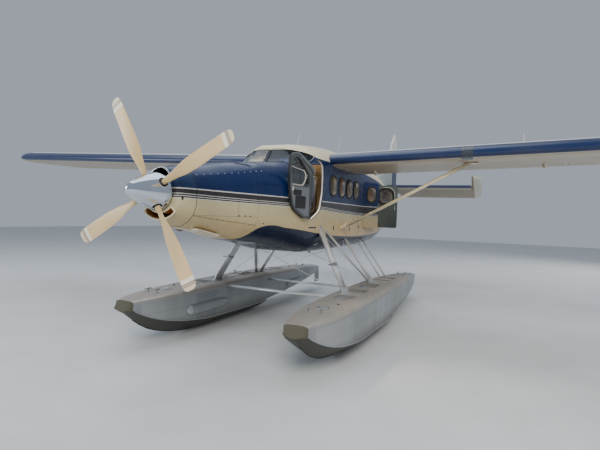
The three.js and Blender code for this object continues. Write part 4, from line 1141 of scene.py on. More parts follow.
def buildNose():
    wall, lip = nose["wall"], nose["lip"]
    front = [(0.15 + lip * (1 - math.sin(t)), lip * (1 - math.cos(t))) for t in
             (math.pi / 2 * (1 - k / 7) for k in range(8))]
    outer = [skinRing(s, inset) for s, inset in front[:-1]] + [skinRing(s) for s in (0.2, 0.26, 0.33, 0.4)]
    inner = [skinRing(s, wall) for s in (0.4, 0.3, 0.215)] + [skinRing(0.19, wall + 0.03)]
    bowl = loft("noseBowl", outer + inner, bend=40)
    carve(bowl, prism("cut", "y", circle2d(0, nose["intake"][0], nose["intake"][1]), 0.1, 0.25),
          prism("cut", "y", circle2d(0, 0, nose["hub"]), 0.1, 0.25),
          prism("cut", "y", crescent(), 0.1, 0.25))
    softenEdges(bowl, 40)
    dress(bowl, "airframe", skinPaint, ("nose_bowl",))
    rimRadius = nose["intake"][1]
    arc = [math.radians(-38 + 256 * k / 60) for k in range(61)]
    rim = tube("intakeRim", [place(rimRadius * math.cos(t), 0.15,
                                   nose["intake"][0] + rimRadius * math.sin(t)) for t in arc], 0.009, 12)
    dress(rim, "airframe", "chromeRim")
    lipRing = tube("chinLip", [place(x, 0.152, z) for x, z in crescent(0.002, 40, nose["mouth"])], 0.012,
                   10, closed=True)
    dress(lipRing, "airframe", "creamPaint")
    duct = loft("chinDuct", [[place(*insideSkin(x, s, z - drop,
        nose["wall"] + 0.006 - grown)) for x, z in crescent(-0.004 + grown)] for s, grown, drop in ((0.172,
        0, 0), (0.4, 0, 0.02), (0.62, 0, 0.06), (0.62, 0.004, 0.06), (0.4, 0.004, 0.02),
        (0.172, 0.004, 0))], closed=True, bend=50)
    dress(duct, "airframe", "chinOrange")
    # A near-black sheet closing the back of the chin duct, as painted shade.
    grille = loft("chinCooler", [[place(*insideSkin(x, s, z - 0.06,
        nose["wall"] + 0.008)) for x, z in crescent(-0.006)] for s in (0.60, 0.615)])
    dress(grille, "airframe", "ductPaintedShade")
    # A dark plug closing the intake, as painted shade.
    throat = lathe("intakeThroat", [(0.0, 0.166), (0.2, 0.158), (0.21, 0.0005), (0.205, 0.0004),
                                    (0.195, 0.15), (0.0, 0.16)], (0, 0.166, nose["intake"][0]), sides=48)
    dress(throat, "airframe", "ductPaintedShade")
    # Formed ends close the chin opening beyond the spinner's edges.
    ends = []
    for low, high in ((202, nose["mouth"][0]), (nose["mouth"][1], 338)):
        sector = [(r * math.cos(math.radians(a)),
                   -0.008 + r * math.sin(math.radians(a))) for r, turns in ((0.25,
            np.linspace(low, high, 8)), (0.352, np.linspace(high, low, 8))) for a in turns]
        rings = []
        for s in (0.151, 0.158, 0.168, 0.18, 0.2, 0.24):
            bend = max(0.0, 1 - (s - 0.15) / lip)
            deep = lip * (1 - math.sqrt(1 - bend * bend)) + 0.0006
            rings.append([place(*insideSkin(x, s, z, deep)) for x, z in sector])
        ends.append(loft("chinEnd", rings, bend=40))
    together("chinEnds", ends, skinPaint)


def buildCowling():
    cowl = skinShell("cowling", 0.4003, 1.6, nose["wall"])
    exhaust = rod("cut", [(-0.3, 1.103, -0.262), (-0.70, 1.42, -0.47), (-0.86, 1.547, -0.553)], 0.088, 24)
    carve(cowl, exhaust)
    skinSkin(cowl, nose["wall"], skinPaint, bare["seal"], bare["seal"])
    dress(cowl, "airframe", None, ("upper_cowl", "lower_cowl"))
    rim = skinShell("firewallRim", 1.6003, 1.6297, nose["wall"])
    skinSkin(rim, nose["wall"], skinPaint, bare["seal"], bare["seal"])
    dress(rim, "airframe", None, ("firewall",))
    plate = loft("firewallPlate", [skinRing(s, nose["wall"] + 0.0005) for s in (1.6005, 1.6295)])
    dress(plate, "airframe", "engineSteel")


# Propeller
propeller = {"radius": 1.33, "turn": -29.1, "spinner": 0.235, "hole": 0.062}
spinnerRows = np.array([(-0.4, 0.0), (-0.39, 0.034), (-0.36, 0.068), (-0.29, 0.112), (-0.17, 0.164),
                        (-0.04, 0.208), (0.07, 0.235), (0.11, 0.235)])
# radius, chord, thickness as a part of the chord, pitch
bladeTable = np.array([(0.3, 0.082, 0.6, 24), (0.42, 0.11, 0.34, 17), (0.6, 0.172, 0.18, 8),
                       (0.85, 0.194, 0.12, -2), (1.08, 0.196, 0.09, -6), (1.24, 0.19, 0.08, -8),
                       (1.3, 0.162, 0.08, -9), (1.33, 0.096, 0.1, -10)])


def onBlade(points, angle):
    a = math.radians(angle)
    return [place(x * math.cos(a) + z * math.sin(a), s,
                  -x * math.sin(a) + z * math.cos(a)) for x, s, z in points]


def bladeRing(radius, count=40):
    width, thick, pitch = smoothTable(bladeTable, radius)[0]
    lean = math.radians(pitch)
    ring = []
    for k in range(count):
        t = tau * k / count
        along = width / 2 * math.cos(t)
        across = width * thick / 2 * math.sin(t) * (0.75 + 0.25 * math.cos(t))
        ring.append((along * math.cos(lean) - across * math.sin(lean),
                     along * math.sin(lean) + across * math.cos(lean), radius))
    return ring


def bladePaint():
    # Cream blades with a tan tip band between two pale ones, read by the distance from the axis.
    material, tree, shader, spot = startMaterial("bladePaint")
    parts = addNode(tree, "ShaderNodeSeparateXYZ")
    feed(tree, spot, parts.inputs[0])
    up = calc(tree, "SUBTRACT", parts.outputs[2], heightShift)
    square = lambda v: calc(tree, "MULTIPLY", v, v)
    far = calc(tree, "SQRT", calc(tree, "ADD", square(parts.outputs[0]), square(up)))
    paint = mixColor(tree, ramp(tree, far, 0.3, 1.1), (0.56, 0.41, 0.19, 1), (0.70, 0.51, 0.27, 1))
    paint = mixColor(tree, nearLine(tree, far, 1.209, 0.027), paint, (0.84, 0.76, 0.66, 1))
    paint = mixColor(tree, nearLine(tree, far, 1.258, 0.022), paint, (0.36, 0.29, 0.21, 1))
    paint = mixColor(tree, nearLine(tree, far, 1.262, 0.004), paint, (0.60, 0.50, 0.38, 1))
    paint = mixColor(tree, calc(tree, "GREATER_THAN", far, 1.28), paint, (0.72, 0.62, 0.44, 1))
    paint = mixColor(tree, calc(tree, "LESS_THAN", far, 0.225), paint, (0.08, 0.08, 0.085, 1))
    worn = useGroup(tree, "weather", Vector=spot, Color=paint, Amount=0.3, Roughness=0.33, Grain=90.0)
    feed(tree, worn.outputs["Color"], shader.inputs["Base Color"])
    feed(tree, worn.outputs["Roughness"], shader.inputs["Roughness"])
    bumpInto(tree, shader, worn.outputs["Height"], 0.06)
    return material


def buildPropeller():
    rows = np.concatenate([np.linspace(-0.4, -0.39, 4)[:-1], np.linspace(-0.39, -0.29, 8)[:-1],
                           np.linspace(-0.29, 0.07, 16), [0.11]])
    profile = [(s, max(0.0008, float(smoothTable(spinnerRows, s)[0][0]))) for s in rows]
    inner = [(s, max(0.0004, r - 0.006)) for s, r in profile if s > -0.38][::-1]
    spinner = lathe("spinnerShell", profile + inner, (0, 0, 0), sides=96, bend=40)
    rims = []
    for k in range(4):
        angle, wide = propeller["turn"] + 90 * k, propeller["hole"]
        hole = loft("cut", [onBlade([(wide * math.cos(a), wide * math.sin(a), h) for a in angles(32)],
                                    angle) for h in (0.1, 0.4)])
        carve(spinner, hole)
        edge = []
        for i in range(48):
            x, s = 0.064 * math.cos(tau * i / 48), 0.064 * math.sin(tau * i / 48)
            reach = float(smoothTable(spinnerRows, s)[0][0])
            edge.append((x, s, math.sqrt(max(reach ** 2 - x ** 2, 0.001)) - 0.001))
        rims.append(tube("rim", onBlade(edge, angle), 0.0055, 8, closed=True))
    softenEdges(spinner, 40)
    dress(spinner, "propeller", "chromePolish", ("spinner",))
    together("bladeHoleRims", rims, "chromeRim", "propeller")
    paint = bladePaint()
    radii = np.concatenate([np.linspace(0.3, 1.24, 26)[:-1], np.linspace(1.24, propeller["radius"], 14)])
    shank = [(0.166, 0.036), (0.24, 0.036), (0.28, 0.037)]
    for k in range(4):
        angle = propeller["turn"] + 90 * k
        rings = [onBlade([(r * math.cos(a), r * math.sin(a), h) for a in angles(40)],
                         angle) for h, r in shank]
        rings += [onBlade(bladeRing(r), angle) for r in radii]
        blade = loft(f"blade_{k + 1}", rings, bend=60)
        dress(blade, "propeller", paint, (f"propeller_blade_{k + 1}",))


# Wings
flapSpan = (1.0, 4.95)
aileronSpan = (5.06, 8.25)
flapCove = 0.014
runGap = 0.008
aileronNose = 0.078


def wingPaint(name, base, line):
    # A navy leading edge with a thin line behind it, then the main colour.
    material, tree, shader, spot = startMaterial(name)
    parts = addNode(tree, "ShaderNodeSeparateXYZ")
    feed(tree, spot, parts.inputs[0])
    back = calc(tree, "SUBTRACT", calc(tree, "SUBTRACT", parts.outputs[1], stationShift), wing["leading"])
    paint = mixColor(tree, calc(tree, "LESS_THAN", back, line["band"]), base, livery["navy"])
    paint = mixColor(tree, nearLine(tree, back, line["band"], line["half"]), paint, (0.78, 0.78, 0.76, 1))
    seams = calc(tree, "MAXIMUM", nearLine(tree, back, 0.72, 0.0015),
                 nearLine(tree, back, wing["spar"] - wing["leading"] - 0.02, 0.0015))
    ribs = calc(tree, "LESS_THAN", calc(tree, "PINGPONG", parts.outputs[0], 0.55), 0.002)
    seams = calc(tree, "MAXIMUM", seams, ribs)
    worn = useGroup(tree, "weather", Vector=spot, Color=paint, Amount=0.3, Roughness=0.3, Grain=14.0)
    feed(tree, mixColor(tree, calc(tree, "MULTIPLY", seams, 0.45), worn.outputs["Color"],
                        (0.03, 0.03, 0.03, 1)), shader.inputs["Base Color"])
    feed(tree, worn.outputs["Roughness"], shader.inputs["Roughness"])
    shader.inputs["Coat Weight"].default_value = 0.15
    bumpInto(tree, shader, calc(tree, "SUBTRACT", worn.outputs["Height"],
                                calc(tree, "MULTIPLY", seams, 2.0)), 0.06)
    return material


wingTop = wingPaint("wingWhiteTop", (0.70, 0.70, 0.69, 1), {"band": 0.2, "half": 0.008})
# The cream underside is painted a darker, warmer tan: painted shade with painted warm reflected light from
# below.
shadedWingUnder = wingPaint("wingTanUnderShaded", (0.42, 0.33, 0.21, 1), {"band": 0.085, "half": 0.004})


def topAndUnder(obj, top, under):
    mesh = obj.data
    mesh.materials.clear()
    mesh.materials.append(top)
    mesh.materials.append(under)
    for face in mesh.polygons:
        face.material_index = 0 if face.normal.z > 0.02 else 1
    return obj


def wingBody(name):
    outs = np.concatenate([np.linspace(0, 0.3, 8)[:-1], np.linspace(0.3, 0.44, 9)])
    rings = [wingRing(0.15)] + [wingRing(wing["start"] + out,
        float(smoothTable(tipTable, out)[0][0])) for out in outs]
    return loft(name, rings, bend=40)


def aileronBar(x, radius, count=36):
    y, z = wing["spar"] + 0.008 + aileronNose + 0.004, wingRise(x) - 0.01584
    return [place(x, y + radius * math.cos(tau * i / count),
                  z + radius * math.sin(tau * i / count)) for i in range(count)]


def flapArmAt(x):
    y, z, under = wing["spar"] + 0.04, wingRise(x) - 0.15, wingRise(x) - 0.096
    fixed = [(y - 0.3, under + 0.04), (y - 0.075, under + 0.04), (y - 0.075, under - 0.012),
             (y + 0.016, z + 0.008), (y + 0.008, z - 0.02), (y - 0.008, z - 0.022), (y - 0.024, z - 0.01)]
    moving = [(y + 0.06, under + 0.04), (y + 0.26, under + 0.03), (y + 0.014, z - 0.02),
              (y - 0.002, z - 0.024), (y - 0.018, z + 0.008)]
    boss = lambda a, b: rod("boss", [(a, y, z), (b, y, z)], 0.026, 20)
    still = [prism("arm", "x", fixed, x + 0.008, x + 0.026), boss(x + 0.001, x + 0.028)]
    turning = [prism("arm", "x", moving, x - 0.026, x - 0.008), boss(x - 0.028, x - 0.0015)]
    return still, turning


def buildWings():
    spar = wing["spar"]
    body = wingBody("wingSkin")
    whole = copyOf(body, "whole")
    aileron = copyOf(body, "aileron")
    room = loft("room", [aileronBar(x, aileronNose + runGap) for x in aileronSpan])
    wide = lambda low, high, start: box("cut", (low, high), (start, 7.0), (0.3, 2.0))
    carve(body, room, wide(*aileronSpan, spar + runGap + aileronNose), wide(*flapSpan, spar))
    ends = (aileronSpan[0] + runGap, aileronSpan[1] - runGap)
    carve(aileron, wide(*ends, spar + runGap + aileronNose + 0.004), how="INTERSECT")
    carve(aileron, loft("bar", [aileronBar(x, aileronNose) for x in ends]), how="UNION")
    flap = carve(whole, wide(flapSpan[0] + runGap, flapSpan[1] - runGap, spar + flapCove), how="INTERSECT")
    # The hinge pins lie a little below the wing's middle height.
    y, drop = spar + runGap + aileronNose + 0.004, 0.01584
    pinsAt = [rod("pin", [(a, y, wingRise(a) - drop), (b, y, wingRise(b) - drop)], 0.016,
                  16) for a, b in ((aileronSpan[0] - 0.02, ends[0] - 0.0003),
                                   (ends[1] + 0.0003, aileronSpan[1] + 0.02))]
    still, turning = [], []
    for x in (flapSpan[0] + 0.32, sum(flapSpan) / 2, flapSpan[1] - 0.32):
        a, b = flapArmAt(x)
        still += a
        turning += b
    for piece in (body, aileron, flap):
        softenEdges(piece, 30)
        topAndUnder(piece, wingTop, shadedWingUnder)
    cream = finishOf("creamPaint")
    for arm in still + turning + pinsAt:
        arm.data.materials.append(cream)
    body = joinAll("wing", [body] + still + pinsAt)
    flap = joinAll("flap", [flap] + turning)
    for piece, node in ((body, "wing"), (aileron, "aileron"), (flap, "flap")):
        other = mirrored(piece, node + "Starboard")
        piece.name = node + "Port"
        for made, side in ((piece, "port"), (other, "starboard")):
            dress(made, "airframe" if node == "wing" else f"{node}_{side}", None, (f"{node}_{side}",))


def barAlong(name, start, end, long, wide, count=28, rings=2):
    # A faired bar: an ellipse whose long side lies along the flight.
    start, end = np.array(start, float), np.array(end, float)
    way = (end - start) / np.linalg.norm(end - start)
    fore = np.array([0.0, 1.0, 0.0]) - way * way[1]
    fore /= np.linalg.norm(fore)
    cross = np.cross(way, fore)
    made = []
    for t in np.linspace(0, 1, rings):
        middle = start + (end - start) * t
        made.append([tuple(middle + fore * long / 2 * math.cos(a) + cross * wide / 2 * math.sin(a))
                     for a in angles(count)])
    return loft(name, made, bend=50)


def bothSides(obj, node, finish, body="airframe"):
    other = mirrored(obj, obj.name + "Starboard")
    for made, side in ((obj, "port"), (other, "starboard")):
        dress(made, body if body == "airframe" else f"{body}_{side}", finish,
              (f"{node}_{side}",) if node else ())


def buildWingStruts():
    high = place(3.433, 4.64, underWing(3.433, 4.64) + 0.04)
    low = place(0.74, 4.92, -0.504)
    strut = barAlong("wingStrut", low, high, 0.17, 0.062, 40)
    inner = loft("cut", [wingRing(1.0, margin=0.0003), wingRing(8.0, margin=0.0003)])
    carve(strut, inner)
    body = loft("cut", [skinRing(s, -0.0003) for s in skinStations(4.3, 5.6)])
    carve(strut, body)
    bothSides(strut, "wing_strut", "strutCream")


# Tail
tail = {"half": 3.225, "height": 0.95, "front": 11.9, "hinge": 12.76, "chord": 1.62, "thick": 0.095,
        "nose": 0.052, "horn": 2.9, "droop": -24, "end": 13.64}
tailTipTable = np.array([(2.925, 0.0, 1.0), (3.105, 0.06, 0.9), (3.195, 0.18, 0.72), (3.225, 0.33, 0.5)])
# height, front station, half thickness
finTable = np.array([(0.56, 9.99, 0.04), (0.84, 9.99, 0.046), (1.09, 10.62, 0.052), (1.34, 11.22, 0.056),
                     (1.8, 11.8, 0.056), (2.3, 12.39, 0.05), (2.56, 12.59, 0.046), (2.64, 12.64, 0.04)])
# height, front station, back station, half thickness
rudderTable = np.array([(0.29, 12.708, 13.33, 0.052), (0.42, 12.708, 13.54, 0.052),
                        (0.76, 12.708, 13.64, 0.052), (2.3, 12.708, 13.61, 0.052),
                        (2.64, 12.708, 13.55, 0.052), (2.83, 12.86, 13.46, 0.038),
                        (2.97, 12.97, 13.31, 0.026), (3.04, 13.06, 13.12, 0.012)])


def tailSeamPaint(name, base, edge, band):
    # Tailplane colours: a dark leading edge over the main colour, with rib lines.
    material, tree, shader, spot = startMaterial(name)
    parts = addNode(tree, "ShaderNodeSeparateXYZ")
    feed(tree, spot, parts.inputs[0])
    back = calc(tree, "SUBTRACT", calc(tree, "SUBTRACT", parts.outputs[1], stationShift), tail["front"])
    wide = calc(tree, "ABSOLUTE", parts.outputs[0])
    paint = mixColor(tree, calc(tree, "LESS_THAN", back, band), base, edge)
    paint = mixColor(tree, calc(tree, "GREATER_THAN", wide, tail["horn"] + 0.07), paint,
                     (0.58, 0.55, 0.47, 1))
    ribs = calc(tree, "LESS_THAN", calc(tree, "PINGPONG", parts.outputs[0], 0.42), 0.0018)
    worn = useGroup(tree, "weather", Vector=spot, Color=paint, Amount=0.35, Roughness=0.33, Grain=16.0)
    feed(tree, mixColor(tree, calc(tree, "MULTIPLY", ribs, 0.5), worn.outputs["Color"],
                        (0.02, 0.02, 0.02, 1)), shader.inputs["Base Color"])
    feed(tree, worn.outputs["Roughness"], shader.inputs["Roughness"])
    bumpInto(tree, shader, calc(tree, "SUBTRACT", worn.outputs["Height"], ribs), 0.06)
    return material


def finPaint():
    # Pale upper fin and rudder tip, a grey-green panel with pale borders below, and a navy rudder.
    material, tree, shader, spot = startMaterial("finAndRudderPaint")
    parts = addNode(tree, "ShaderNodeSeparateXYZ")
    feed(tree, spot, parts.inputs[0])
    s = calc(tree, "SUBTRACT", parts.outputs[1], stationShift)
    z = calc(tree, "SUBTRACT", parts.outputs[2], heightShift)
    pale, panel = (0.62, 0.62, 0.58, 1), (0.30, 0.34, 0.33, 1)
    onRudder = calc(tree, "GREATER_THAN", s, 12.7)
    low = calc(tree, "LESS_THAN", z, 1.72)
    paint = mixColor(tree, low, pale, panel)
    paint = mixColor(tree, nearLine(tree, z, 1.72, 0.025), paint, (0.72, 0.72, 0.69, 1))
    navy = calc(tree, "MULTIPLY", onRudder, calc(tree, "LESS_THAN", z, 2.32))
    paint = mixColor(tree, navy, paint, livery["navy"])
    edge = calc(tree, "MULTIPLY", onRudder, nearLine(tree, z, 2.32, 0.022))
    paint = mixColor(tree, edge, paint, (0.72, 0.72, 0.69, 1))
    ribs = calc(tree, "LESS_THAN", calc(tree, "PINGPONG", z, 0.36), 0.0018)
    worn = useGroup(tree, "weather", Vector=spot, Color=paint, Amount=0.3, Roughness=0.35, Grain=16.0)
    feed(tree, mixColor(tree, calc(tree, "MULTIPLY", ribs, 0.45), worn.outputs["Color"],
                        (0.03, 0.03, 0.03, 1)), shader.inputs["Base Color"])
    feed(tree, worn.outputs["Roughness"], shader.inputs["Roughness"])
    bumpInto(tree, shader, calc(tree, "SUBTRACT", worn.outputs["Height"], ribs), 0.06)
    return material


def plan(outline):
    return prism("cut", "z", outline, tail["height"] - 0.4, tail["height"] + 0.4)


def buildTailplane():
    section = aerofoil(tail["chord"], 0, tail["thick"], 24)
    xs = np.concatenate([[-0.0002], np.linspace(2.925, 3.195, 8), np.linspace(3.195, 3.225, 6)[1:]])
    rings = []
    for x in xs:
        shift, scale = smoothTable(tailTipTable, x)[0]
        rings.append([place(x, tail["front"] + shift + y * scale,
                            tail["height"] + z * scale) for y, z in section])
    half = loft("tailHalf", rings, bend=40)
    stabiliser = copyOf(half, "stabiliser")
    hinge, gap, horn = tail["hinge"], runGap, tail["horn"]
    carve(stabiliser, plan([(-1, 11), (horn, 11), (horn, hinge - tail["nose"] - gap),
                            (-1, hinge - tail["nose"] - gap)]), how="INTERSECT")
    elevator = half
    carve(elevator, plan([(horn + gap, 11), (4, 11), (4, 14), (0.56, 14), (0.11, hinge + 0.06),
                          (0.11, hinge), (horn + gap, hinge)]), how="INTERSECT")
    carve(elevator, rod("nose", [(0.11, hinge, tail["height"]), (horn + 0.06, hinge, tail["height"])],
                        tail["nose"], 32), how="UNION")
    lugs = []
    for x in (0.7, 2.3):
        carve(elevator, box("cut", (x - gap, x + 0.0303), (hinge - 0.1, hinge + 0.03),
                            (tail["height"] - 0.09, tail["height"] + 0.09)))
        lugs.append(box("lug", (x, x + 0.03), (hinge - 0.112, hinge),
                        (tail["height"] - 0.018, tail["height"] + 0.018)))
        lugs.append(rod("lug", [(x, hinge, tail["height"]), (x + 0.03, hinge, tail["height"])], 0.018, 16))
    top = tailSeamPaint("tailNavyTop", (0.012, 0.04, 0.12, 1), livery["navy"], 0.12)
    # The cream underside is painted dark olive as painted shade.
    under = tailSeamPaint("tailUnderShadedOlive", (0.27, 0.22, 0.15, 1), livery["navy"], 0.07)
    for piece in (stabiliser, elevator):
        softenEdges(piece, 30)
        topAndUnder(piece, top, under)
    for lug in lugs:
        lug.data.materials.append(finishOf("castFitting"))
    port = joinAll("stabiliserPort", [stabiliser] + lugs)
    whole = joinAll("tailplaneSkin", [mirrored(port, "other"), port])
    dress(whole, "airframe", None, ("tailplane",))
    turn = (Matrix.Translation(place(0, hinge,
                                     tail["height"])) @ Matrix.Rotation(math.radians(tail["droop"]), 4,
        "X") @ Matrix.Translation(-at(0, hinge, tail["height"])))
    starboard = mirrored(elevator, "elevatorSkinStarboard")
    for piece, side in ((elevator, "port"), (starboard, "starboard")):
        piece.data.transform(turn)
        dress(piece, f"elevator_{side}", None, (f"elevator_{side}",))


def finRing(z):
    front, half = smoothTable(finTable, z)[0]
    back = tail["hinge"] - tail["nose"] - runGap
    nose = min(0.34, (back - front) * 0.5)
    side = []
    for k in range(13):
        t = (k / 12) ** 2
        side.append((front + nose * t, half * (math.sqrt(max(0.0, 1 - (1 - t) ** 2)))))
    last = min(tail["nose"] - 0.002, 0.05)
    right = [place(x, y, z) for y, x in side] + [place(last, back, z)]
    left = [place(-last, back, z)] + [place(-x, y, z) for y, x in side[:0:-1]]
    return right + left


def rudderRing(z):
    front, back, half = smoothTable(rudderTable, z)[0]
    nose = [place(-half * math.sin(math.radians(-90 - k * 10)),
                  front + half + half * math.cos(math.radians(-90 - k * 10)), z) for k in range(19)]
    return nose + [place(-0.004, back, z), place(0.004, back, z)]


def buildFin():
    paint = finPaint()
    heights = np.concatenate([np.linspace(0.56, 2.5, 30), np.linspace(2.53, 2.64, 6)])
    fin = loft("finSkin", [finRing(z) for z in heights], bend=40)
    section = aerofoil(tail["chord"] + 0.004, 0, tail["thick"], 24)
    carve(fin, loft("cut", [[place(x, tail["front"] - 0.002 + y,
                                   tail["height"] + z + math.copysign(0.0003,
        z)) for y, z in section] for x in (-0.4, 0.4)]),
          loft("cut", [skinRing(s, -0.0003) for s in skinStations(8.1, 12.88)]))
    softenEdges(fin, 35)
    heights = np.concatenate([np.linspace(0.29, 2.64, 36), np.linspace(2.68, 3.04, 14)])
    rudder = loft("rudderSkin", [rudderRing(z) for z in heights], bend=40)
    lugs = []
    for z in (1.5, 2.5):
        carve(rudder, box("cut", (-0.2, 0.2), (tail["hinge"] - 0.1, tail["hinge"] + 0.03),
                          (z - runGap, z + 0.0303)))
        lugs.append(box("lug", (-0.018, 0.018), (tail["hinge"] - 0.12, tail["hinge"]), (z, z + 0.03)))
        lugs.append(rod("lug", [(0, tail["hinge"], z), (0, tail["hinge"], z + 0.03)], 0.018, 16))
    softenEdges(rudder, 35)
    fin.data.materials.append(paint)
    for lug in lugs:
        lug.data.materials.append(finishOf("castFitting"))
    dress(joinAll("finBody", [fin] + lugs), "airframe", None, ("fin",))
    dress(rudder, "rudder", paint, ("rudder",))


# Floats
floatMiddle = 1.51
floatStep = 5.15
# station, beam, flat, deck, gunwale, chine, keel
floatTable = np.array([
    (1.12, 0.185, 0.12, -1.695, -1.74, -1.84, -1.885),
    (1.35, 0.27, 0.175, -1.672, -1.735, -1.96, -2.08),
    (1.75, 0.345, 0.225, -1.648, -1.728, -2.09, -2.29),
    (2.3, 0.39, 0.255, -1.63, -1.718, -2.19, -2.43),
    (2.95, 0.41, 0.265, -1.62, -1.71, -2.25, -2.5),
    (5.15, 0.415, 0.268, -1.62, -1.715, -2.28, -2.5),
])
floatAftTable = np.array([
    (5.151, 0.41, 0.265, -1.62, -1.715, -2.23, -2.41),
    (6.5, 0.385, 0.245, -1.65, -1.74, -2.15, -2.32),
    (8.0, 0.3, 0.185, -1.72, -1.8, -2.02, -2.15),
    (9.1, 0.15, 0.09, -1.8, -1.85, -1.93, -1.99),
])


def floatAt(station):
    return smoothTable(floatTable if station <= floatStep else floatAftTable, station)[0]


floatParts = ("beam", "flat", "deck", "gunwale", "chine", "keel")


def floatSize(part, station):
    return float(floatAt(station)[floatParts.index(part)])


def floatRing(station, grow=1.0, middle=None):
    beam, flat, deck, gunwale, chine, keel = floatAt(station)
    half = [(0.0, deck + 0.004), (flat * 0.5, deck + 0.003), (flat, deck)]
    for k in range(1, 7):
        t = k / 6
        half.append((flat + (beam - flat) * (2 * t - t * t), deck + (gunwale - deck) * t ** 1.6))
    for k in range(1, 5):
        t = k / 4
        half.append((beam - 0.03 * beam * t, gunwale + (chine - gunwale) * t))
    for k in range(1, 9):
        t = k / 8
        w = 0.97 * (1 - t) + (0.03 * math.sin(math.pi * t))
        half.append((beam * w, chine + (keel - chine) * (1 - (1 - t) ** 1.15)))
    ring = half + [(-x, z) for x, z in half[-2:0:-1]]
    if middle is None:
        return [place(floatMiddle + x, station, z) for x, z in ring]
    return [place(floatMiddle + x * grow, station, middle + (z - middle) * grow) for x, z in ring]


def floatPaint():
    # Bare alloy plates: a tone for each plate, seams, and darker towards the keel.
    material, tree, shader, spot = startMaterial("floatAlloy")
    parts = addNode(tree, "ShaderNodeSeparateXYZ")
    feed(tree, spot, parts.inputs[0])
    s = calc(tree, "SUBTRACT", parts.outputs[1], stationShift)
    z = calc(tree, "SUBTRACT", parts.outputs[2], heightShift)
    plate = addNode(tree, "ShaderNodeTexWhiteNoise", noise_dimensions="1D")
    feed(tree, calc(tree, "FLOOR", calc(tree, "DIVIDE", s, 0.62)), plate.inputs["W"])
    paint = mixColor(tree, plate.outputs[0], (0.30, 0.32, 0.34, 1), (0.38, 0.40, 0.42, 1))
    paint = mixColor(tree, ramp(tree, z, -1.745, -1.70), paint, (0.42, 0.385, 0.345, 1))
    paint = mixColor(tree, ramp(tree, z, -2.05, -2.35), paint, (0.10, 0.10, 0.085, 1))
    seams = calc(tree, "LESS_THAN", calc(tree, "PINGPONG", s, 0.62), 0.0022)
    side = calc(tree, "MULTIPLY", nearLine(tree, z, -1.93, 0.0016), 1.0)
    seams = calc(tree, "MAXIMUM", seams, side)
    worn = useGroup(tree, "weather", Vector=spot, Color=paint, Amount=0.55, Roughness=0.42, Grain=22.0)
    worn.inputs["Grime"].default_value = (0.13, 0.12, 0.09, 1)
    feed(tree, mixColor(tree, calc(tree, "MULTIPLY", seams, 0.6), worn.outputs["Color"],
                        (0.06, 0.06, 0.06, 1)), shader.inputs["Base Color"])
    feed(tree, worn.outputs["Roughness"], shader.inputs["Roughness"])
    shader.inputs["Metallic"].default_value = 0.4
    bumpInto(tree, shader, calc(tree, "SUBTRACT", worn.outputs["Height"], seams), 0.12)
    return material


def buildFloats():
    stations = list(np.linspace(1.12, 2.95, 26)) + list(np.linspace(2.95, floatStep,
        8))[1:] + list(np.linspace(5.151, 9.1, 30))
    hull = loft("floatHull", [floatRing(s) for s in stations], bend=24)
    hull.data.materials.append(floatPaint())
    hull.data.materials.append(finishOf("floatBottom"))
    for face in hull.data.polygons:
        station, rise = face.center.y - stationShift, face.center.z - heightShift
        if rise < floatSize("chine", min(station, 9.1)) - 0.004 and abs(face.normal.y) < 0.9:
            face.material_index = 1
    cast = finishOf("castFitting")
    bracket = [box("bracket", (floatMiddle - 0.03, floatMiddle + 0.03), (9.06, 9.16), (-1.89, -1.87)),
               rod("bracket", [(floatMiddle, 9.16, -1.89), (floatMiddle, 9.16, -1.87)], 0.03, 20)]
    for piece in bracket:
        piece.data.materials.append(cast)
    bothSides(joinAll("float", [hull] + bracket), "float", None)
    # The pad is narrow above and wide below, and its lower part reaches farther forward.
    rows = [(1.045, 0.74, 0.6), (1.05, 0.8, 0.62), (1.066, 0.93, 0.68), (1.085, 0.985, 0.78),
            (1.1197, 1.0, 1.0)]
    points = [(p[0] - floatMiddle, p[2] - heightShift + 1.79) for p in floatRing(1.12)]
    rings = []
    for station, scale, narrow in rows:
        thin = lambda z: narrow + (1 - narrow) * min(1.0, max(0.0, (0.095 - z) / 0.12))
        rake = lambda z: (1.1197 - station) * 0.45 * min(1.0, max(0.0, (z + 0.03) / 0.12))
        rings.append([place(floatMiddle + x * scale * thin(z), station + rake(z),
                            -1.79 + z * scale) for x, z in points])
    bumper = loft("bowBumper", rings, bend=35)
    bothSides(bumper, "bow_bumper", "bumperRubber")


bars = {
    "front": {"from": (0.76, 3.69, -0.43), "foot": 3.5, "long": 0.22, "wide": 0.084},
    "diagonal": {"from": (0.745, 3.88, -0.43), "foot": 5.2, "long": 0.09, "wide": 0.04},
    "rear": {"from": (0.69, 5.23, -0.6), "foot": 5.34, "long": 0.13, "wide": 0.056},
}


# where the float struts' middle lines end
footX, footZ = 1.43, -1.68


def hullSolid(shift=(0, 0, 0)):
    stations = [1.12, 2.0, 2.95, 5.15, 5.151, 6.5, 8.0, 9.1]
    rings = [[(p[0] + shift[0], p[1] + shift[1], p[2] + shift[2]) for p in floatRing(s)] for s in stations]
    return loft("cut", rings)


